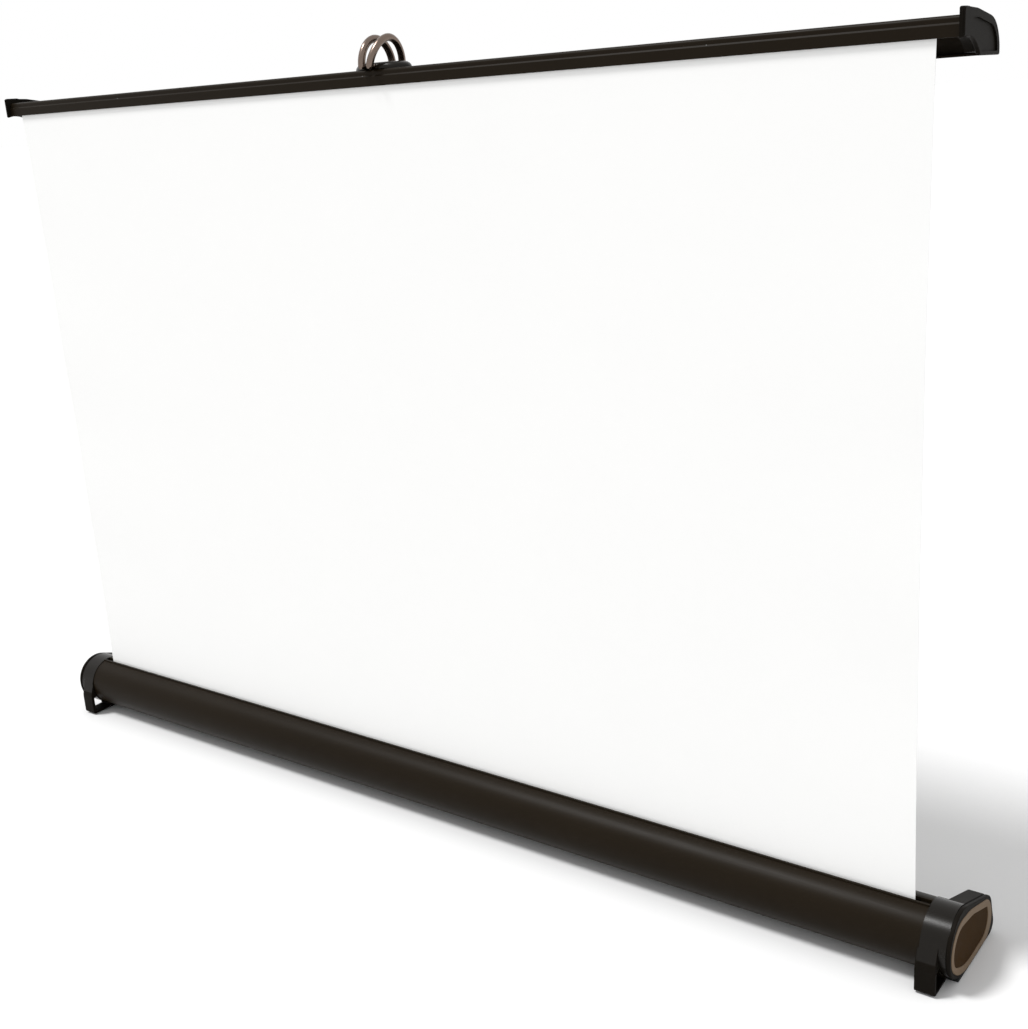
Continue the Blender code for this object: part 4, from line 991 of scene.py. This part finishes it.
class SCREEN_OT_cloth(bpy.types.Operator):
    """Stretches the projection cloth from the roller to the rail"""

    bl_idname = "projection_screen.cloth"
    bl_label = "Cloth"

    columns = 172
    rows = 112

    def execute(self, context):
        sizes, colours = user_sizes(), user_colours()
        half, low, high = SHEET_HIGH.x, SHEET_LOW.z, SHEET_HIGH.z
        shape = bmesh.new()
        bmesh.ops.create_grid(shape, x_segments=self.columns, y_segments=self.rows, size=0.5)
        uv = shape.loops.layers.uv.new("cloth")
        flat = {vert: (vert.co.x * 2 * half, (vert.co.y + 0.5) * (high - low)) for vert in shape.verts}
        for face in shape.faces:
            for loop in face.loops:
                loop[uv].uv = flat[loop.vert]
        slack = high - SLOT_TOP
        for vert, (x, z) in flat.items():
            above = max(0.0, (z + low - SLOT_TOP) / slack)
            bow = 4 * above * (1 - above) if above < 1 else 0.0
            across = x / half
            drawn = x * (1 - sizes.waist / half * bow * abs(across) ** WAIST_POWER)
            near_edge = abs(across) ** WAVE_POWER
            wave = math.sin(EDGE_HALF_WAVES * math.pi * above + WAVE_SHIFT * across) * near_edge
            soft = noise.noise(Vector((SOFT_ACROSS * across, SOFT_UP * above, SOFT_LAYER))) * SOFT_SHARE
            curl = sizes.ripple * bow * (wave + soft)
            vert.co = (drawn, PLANE + curl, z + low)
        bmesh.ops.recalc_face_normals(shape, faces=shape.faces)
        if next(iter(shape.faces)).normal.y > 0:
            bmesh.ops.reverse_faces(shape, faces=shape.faces)
        bmesh.ops.translate(shape, vec=(0, -SHEET_THICKNESS / 2, 0), verts=shape.verts)
        bmesh.ops.solidify(shape, geom=list(shape.faces), thickness=SHEET_THICKNESS)
        mesh = bpy.data.meshes.new("cloth")
        shape.to_mesh(mesh)
        shape.free()
        white = new_material("coated_cloth", coated_cloth, colours.cloth)
        piece = place(mesh, "projection_cloth", "white_sheet", "housing", "screen_sheet", material=white)
        mesh.materials.append(new_material("coated_cloth_back", coated_cloth, colours.backing))
        for face in mesh.polygons:
            face.material_index = 1 if face.normal.y > 0.5 else 0
        piece.modifiers.clear()
        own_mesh(piece)
        return {"FINISHED"}


class SCREEN_OT_arms(bpy.types.Operator):
    """Finishes the folding arms, their pins and washers, and both brackets"""

    bl_idname = "projection_screen.arms"
    bl_label = "Arms"

    def execute(self, context):
        for label in ("left", "right"):
            for level in ("lower", "upper"):
                body = f"arm_{level}_{label}"
                dressed(f"{level}_arm_{label}", "black_steel", body, f"{level}_blade_{label}", BLADE_EDGE)
            lower = "arm_lower_" + label
            dressed("elbow_pin_" + label, "grey_steel", lower, "elbow_rivet_" + label, PIN_EDGE)
            dressed("elbow_washer_" + label, "white_plastic", lower, "elbow_ring_" + label, WASHER_EDGE)
        for index in (1, 2):
            dressed(f"base_pivot_pin_{index}", "grey_steel", "housing", f"base_pivot_{index}", PIN_EDGE)
            dressed(f"base_rivet_{index}", "grey_steel", "housing", f"base_fixing_{index}", PIN_EDGE)
            dressed(f"rail_pivot_pin_{index}", "grey_steel", "rail", f"rail_pivot_{index}", PIN_EDGE)
        dressed("base_bracket", "grey_steel", "housing", "base_bracket_plate", BRACKET_EDGE)
        dressed("rail_bracket", "grey_steel", "rail", "rail_bracket_plate", BRACKET_EDGE)
        return {"FINISHED"}


class SCREEN_OT_rail(bpy.types.Operator):
    """Builds the top rail, its end caps and the clamp that holds the cloth"""

    bl_idname = "projection_screen.rail"
    bl_label = "Top rail"

    def nose(self):
        """Rounded upright bar on the front of the rail's end."""
        wide = CAP_END - CAP_START
        foot = Vector((CAP_START, PLANE + NOSE_MIDDLE, RAIL_LIP - NOSE_BELOW))
        top = Vector((foot.x, foot.y, RAIL_CREST + NOSE_PROUD))
        bar = rod(wide, foot, top, 48, NOSE_SOFTENING)
        about = Matrix.Translation(foot)
        bar.transform(about @ Matrix.Diagonal((1.0, NOSE_DEPTH / wide, 1.0, 1.0)) @ about.inverted())
        inner_half = block(foot - Vector((FAR, FAR, FAR)), top + Vector((0, FAR, FAR)))
        shut = shut_axis()
        saddle = user_sizes().barrel_radius + RUN
        barrel = rod(saddle, (foot.x - FAR, *shut), (foot.x + FAR, *shut), 96)
        return carved(bar, (CUT, inner_half), (CUT, barrel))

    def execute(self, context):
        cover = section(RAIL_LOW.x, RAIL_HIGH.x, rail_outline())
        place(cover, "rail_cover", "black_aluminium", "rail", "top_rail")
        saddle = user_sizes().barrel_radius + RUN
        outer = rail_cap_outline(saddle, RAIL_FRONT, RAIL_SKIRT, 0.0, RAIL_LIP, CAP_ROUND, CAP_RISE)
        panel = rail_cap_outline(saddle + PANEL_CLEAR, PANEL_FRONT, RAIL_SKIRT + PANEL_FOOT, PANEL_BORDER,
                                 0.0, PANEL_ROUND, CAP_RISE)
        plug_low = RAIL_SKIRT + RAIL_HEM + RAIL_WALL + GAP
        plug = rail_cap_outline(saddle + PLUG_CLEAR, -SHEET_THICKNESS / 2, plug_low,
                                RAIL_INSET + RAIL_WALL + GAP, RAIL_LIP + PLUG_CLEAR, 0.0)
        cap = section(CAP_START, CAP_END, outer, width=CAP_SOFTENING)
        spigot = section(RAIL_HIGH.x - PLUG_LENGTH, CAP_END - CAP_WALL, plug)
        recess = section(CAP_END - PANEL_DEPTH, CAP_END + PAST, panel)
        cap = carved(cap, (JOIN, spigot), (CUT, recess), (JOIN, self.nose()))
        for mesh, label in ((mirrored(cap), "left"), (cap, "right")):
            place(mesh, "rail_end_" + label, "black_plastic", "rail", "rail_cap_" + label, sharp=30)
        dressed("sheet_clamp", "grey_steel", "rail", "sheet_clamp_strip", CLAMP_EDGE)
        for index in (1, 2, 3):
            dressed(f"clamp_screw_{index}", "grey_steel", "rail", f"strip_screw_{index}")
        return {"FINISHED"}


class SCREEN_OT_handle(bpy.types.Operator):
    """Builds the oval base on the rail and the two wire loops"""

    bl_idname = "projection_screen.handle"
    bl_label = "Handle"

    def base(self):
        """Oval dome with a round shoulder, cut along the roof's slope."""
        low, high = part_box("handle_base")
        size = high - low
        radius = size.x / 2
        roof = rail_roof(HANDLE_Y, RAIL_INSET)
        shape = bmesh.new()
        profile = [(radius * out, HANDLE_RISE * up) for out, up in DOME_TOP]
        for index in range(SHOULDER_STEPS + 1):
            turn = math.radians(90) * index / SHOULDER_STEPS
            out = 1 - SHOULDER_WIDTH * (1 - math.sin(turn))
            up = SHOULDER_START - SHOULDER_DROP * (1 - math.cos(turn))
            profile.append((radius * out, HANDLE_RISE * up))
        profile += [(radius, -HANDLE_SKIRT), (0.0, -HANDLE_SKIRT)]
        verts = [shape.verts.new((r, 0, z)) for r, z in profile]
        edges = [shape.edges.new(pair) for pair in zip(verts, verts[1:])]
        bmesh.ops.spin(shape, geom=verts + edges, cent=(0, 0, 0), axis=(0, 0, 1), angle=math.tau, steps=72,
                       use_merge=True)
        bmesh.ops.scale(shape, vec=(1, size.y / size.x, 1), verts=shape.verts)
        bmesh.ops.translate(shape, vec=(HANDLE_X, PLANE + HANDLE_Y, roof), verts=shape.verts)
        bmesh.ops.remove_doubles(shape, verts=shape.verts, dist=WELD)
        slope = Vector((0, math.sin(RAIL_SLOPE), math.cos(RAIL_SLOPE)))
        cut = bmesh.ops.bisect_plane(shape, geom=shape.verts[:] + shape.edges[:] + shape.faces[:],
                                     plane_co=(0, PLANE + HANDLE_Y, roof + GAP), plane_no=-slope,
                                     clear_outer=True)
        rim = [item for item in cut["geom_cut"] if isinstance(item, bmesh.types.BMEdge)]
        bmesh.ops.contextual_create(shape, geom=rim)
        return to_mesh(shape)

    def loop_mesh(self, axis, lean, half, rise, narrowing):
        """Round wire arch on a thin axle: leg, half turn, leg, drawn in towards the top."""
        wire = user_sizes().wire_radius
        shape = bmesh.new()
        bmesh.ops.create_circle(shape, segments=20, radius=wire)
        bmesh.ops.translate(shape, vec=(0, -half, 0), verts=shape.verts)

        def lengthen(edges, step):
            made = bmesh.ops.extrude_edge_only(shape, edges=edges)["geom"]
            moved = [item for item in made if isinstance(item, bmesh.types.BMVert)]
            bmesh.ops.translate(shape, vec=(0, 0, step), verts=moved)
            return [item for item in made if isinstance(item, bmesh.types.BMEdge)]

        rim = lengthen(shape.edges[:], LOOP_LEG)
        verts = list({vert for edge in rim for vert in edge.verts})
        spun = bmesh.ops.spin(shape, geom=verts + rim, cent=(0, 0, LOOP_LEG), axis=(1, 0, 0),
                              angle=-math.pi, steps=40)
        lengthen([item for item in spun["geom_last"] if isinstance(item, bmesh.types.BMEdge)], -LOOP_LEG)
        bmesh.ops.holes_fill(shape, edges=shape.edges, sides=0)
        crown = (rise - wire - LOOP_LEG) / half
        for vert in shape.verts:
            if vert.co.z > LOOP_LEG:
                vert.co.z = LOOP_LEG + (vert.co.z - LOOP_LEG) * crown
            vert.co.y *= 1 - narrowing * max(0.0, vert.co.z / rise)
        reach = half + wire * AXLE_REACH
        axle = rod(AXLE_RADIUS, (0, -reach, 0), (0, reach, 0), 24, AXLE_SOFTENING)
        joined = carved(to_mesh(shape), (JOIN, axle))
        joined.transform(Matrix.Translation(axis) @ Matrix.Rotation(math.radians(lean), 4, "Y"))
        return joined

    def execute(self, context):
        height = rail_roof(RAIL_FRONT + RAIL_INSET, RAIL_INSET) + AXLE_RADIUS + GAP
        middle = PLANE + HANDLE_Y
        front, rear, clear = middle - 2 * FAR, middle + 2 * FAR, AXLE_RADIUS + GAP
        grooves = []
        for x, *shape in LOOPS.values():
            grooves.append((CUT, rod(clear, (x, front, height), (x, rear, height), 24)))
            grooves.append((CUT, block((x - clear, front, height - FAR), (x + clear, rear, height))))
        place(carved(self.base(), *grooves), "handle_saddle", "black_plastic", "rail", "handle_base",
              sharp=30, material=finish_for("black_plastic_polished"))
        for label, (x, *shape) in LOOPS.items():
            mesh = self.loop_mesh(Vector((x, middle, height)), *shape)
            place(mesh, "wire_loop_" + label, "polished_wire", "loop_" + label, "handle_loop_" + label,
                  sharp=40)
        for index in (1, 2):
            dressed(f"handle_screw_{index}", "grey_steel", "rail", f"saddle_screw_{index}")
        return {"FINISHED"}


class SCREEN_OT_stage(bpy.types.Operator):
    """Sets the camera, the lamps, the floor and the white surroundings"""

    bl_idname = "projection_screen.stage"
    bl_label = "Stage"

    def camera(self, settings):
        data = bpy.data.cameras.new("photograph")
        data.sensor_width = 36
        data.lens = settings.lens
        data.clip_start = 0.01
        camera = add_object("photograph", data)
        camera.location = CAMERA_PLACE
        camera.rotation_euler = [math.radians(angle) for angle in CAMERA_TURN]
        bpy.context.scene.camera = camera

    def mixed(self, tree, lighting, seen):
        """One shader for the light on the object; another for the camera, reflections and glass."""
        path = add_node(tree, "LightPath").outputs
        total = path["Is Camera Ray"]
        for name in ("Is Glossy Ray", "Is Transmission Ray"):
            total = add_node(tree, "Math", {0: total, 1: path[name]}, operation="MAXIMUM").outputs[0]
        return add_node(tree, "MixShader", {0: total, 1: lighting.outputs[0], 2: seen.outputs[0]}).outputs[0]

    def white_floor(self, tree, settings):
        """Matt white paint that shows paler than it lights the object."""
        pale = add_node(tree, "BsdfDiffuse", {"Color": settings.floor})
        plain = add_node(tree, "BsdfDiffuse", {"Color": settings.bounce})
        add_node(tree, "OutputMaterial", {"Surface": self.mixed(tree, plain, pale)})

    def floor(self, settings):
        shape = bmesh.new()
        bmesh.ops.create_grid(shape, x_segments=1, y_segments=1, size=FLOOR_REACH)
        mesh = bpy.data.meshes.new("floor")
        shape.to_mesh(mesh)
        shape.free()
        mesh.materials.append(new_material("white_floor", self.white_floor, settings))
        floor = add_object("floor", mesh)

    def sky(self, settings):
        world = bpy.data.worlds.new("studio")
        bpy.context.scene.world = world
        world.use_nodes = True
        tree = world.node_tree
        tree.nodes.clear()
        room = add_node(tree, "Background", {"Color": settings.room, "Strength": settings.fill})
        white = add_node(tree, "Background", {"Color": (1, 1, 1, 1), "Strength": 1.0})
        add_node(tree, "OutputWorld", {"Surface": self.mixed(tree, room, white)})

    def lamp(self, settings):
        data = bpy.data.lights.new("ceiling_light", "SUN")
        data.energy = settings.key
        data.angle = LAMP_SPREAD
        lamp = add_object("ceiling_light", data)
        lamp.location = LAMP_PLACE
        lamp.rotation_euler = Vector(LAMP_AIM).to_track_quat("-Z", "Y").to_euler()

    def execute(self, context):
        settings = context.scene.screen_stage
        self.camera(settings)
        self.floor(settings)
        self.sky(settings)
        self.lamp(settings)
        context.scene.view_settings.view_transform = "Standard"
        return {"FINISHED"}


class SCREEN_PT_panel(bpy.types.Panel):
    """Lists the steps that dress the screen"""

    bl_idname = "SCREEN_PT_panel"
    bl_label = "Projection screen"
    bl_space_type = "VIEW_3D"
    bl_region_type = "UI"
    bl_category = "Screen"

    def draw(self, context):
        for group in GROUPS:
            settings = getattr(context.scene, group)
            for name in settings.__annotations__:
                self.layout.prop(settings, name)
        for step in STEPS:
            self.layout.operator(step.bl_idname)


STEPS = (SCREEN_OT_housing, SCREEN_OT_end_caps, SCREEN_OT_roller, SCREEN_OT_arms, SCREEN_OT_rail,
         SCREEN_OT_cloth, SCREEN_OT_handle, SCREEN_OT_stage)
GROUPS = {"screen_sizes": ScreenSizes, "screen_colours": ScreenColours, "screen_stage": StageSettings}


def register():
    for name, group in GROUPS.items():
        bpy.utils.register_class(group)
        setattr(bpy.types.Scene, name, bpy.props.PointerProperty(type=group))
    for item in (*STEPS, SCREEN_PT_panel):
        bpy.utils.register_class(item)


def unregister():
    for item in (SCREEN_PT_panel, *reversed(STEPS)):
        bpy.utils.unregister_class(item)
    for name, group in GROUPS.items():
        delattr(bpy.types.Scene, name)
        bpy.utils.unregister_class(group)


def main():
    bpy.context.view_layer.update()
    register()
    bpy.ops.projection_screen.housing()
    bpy.ops.projection_screen.end_caps()
    bpy.ops.projection_screen.roller()
    bpy.ops.projection_screen.arms()
    bpy.ops.projection_screen.rail()
    bpy.ops.projection_screen.cloth()
    bpy.ops.projection_screen.handle()
    bpy.ops.projection_screen.stage()


if __name__ == "__main__":
    main()
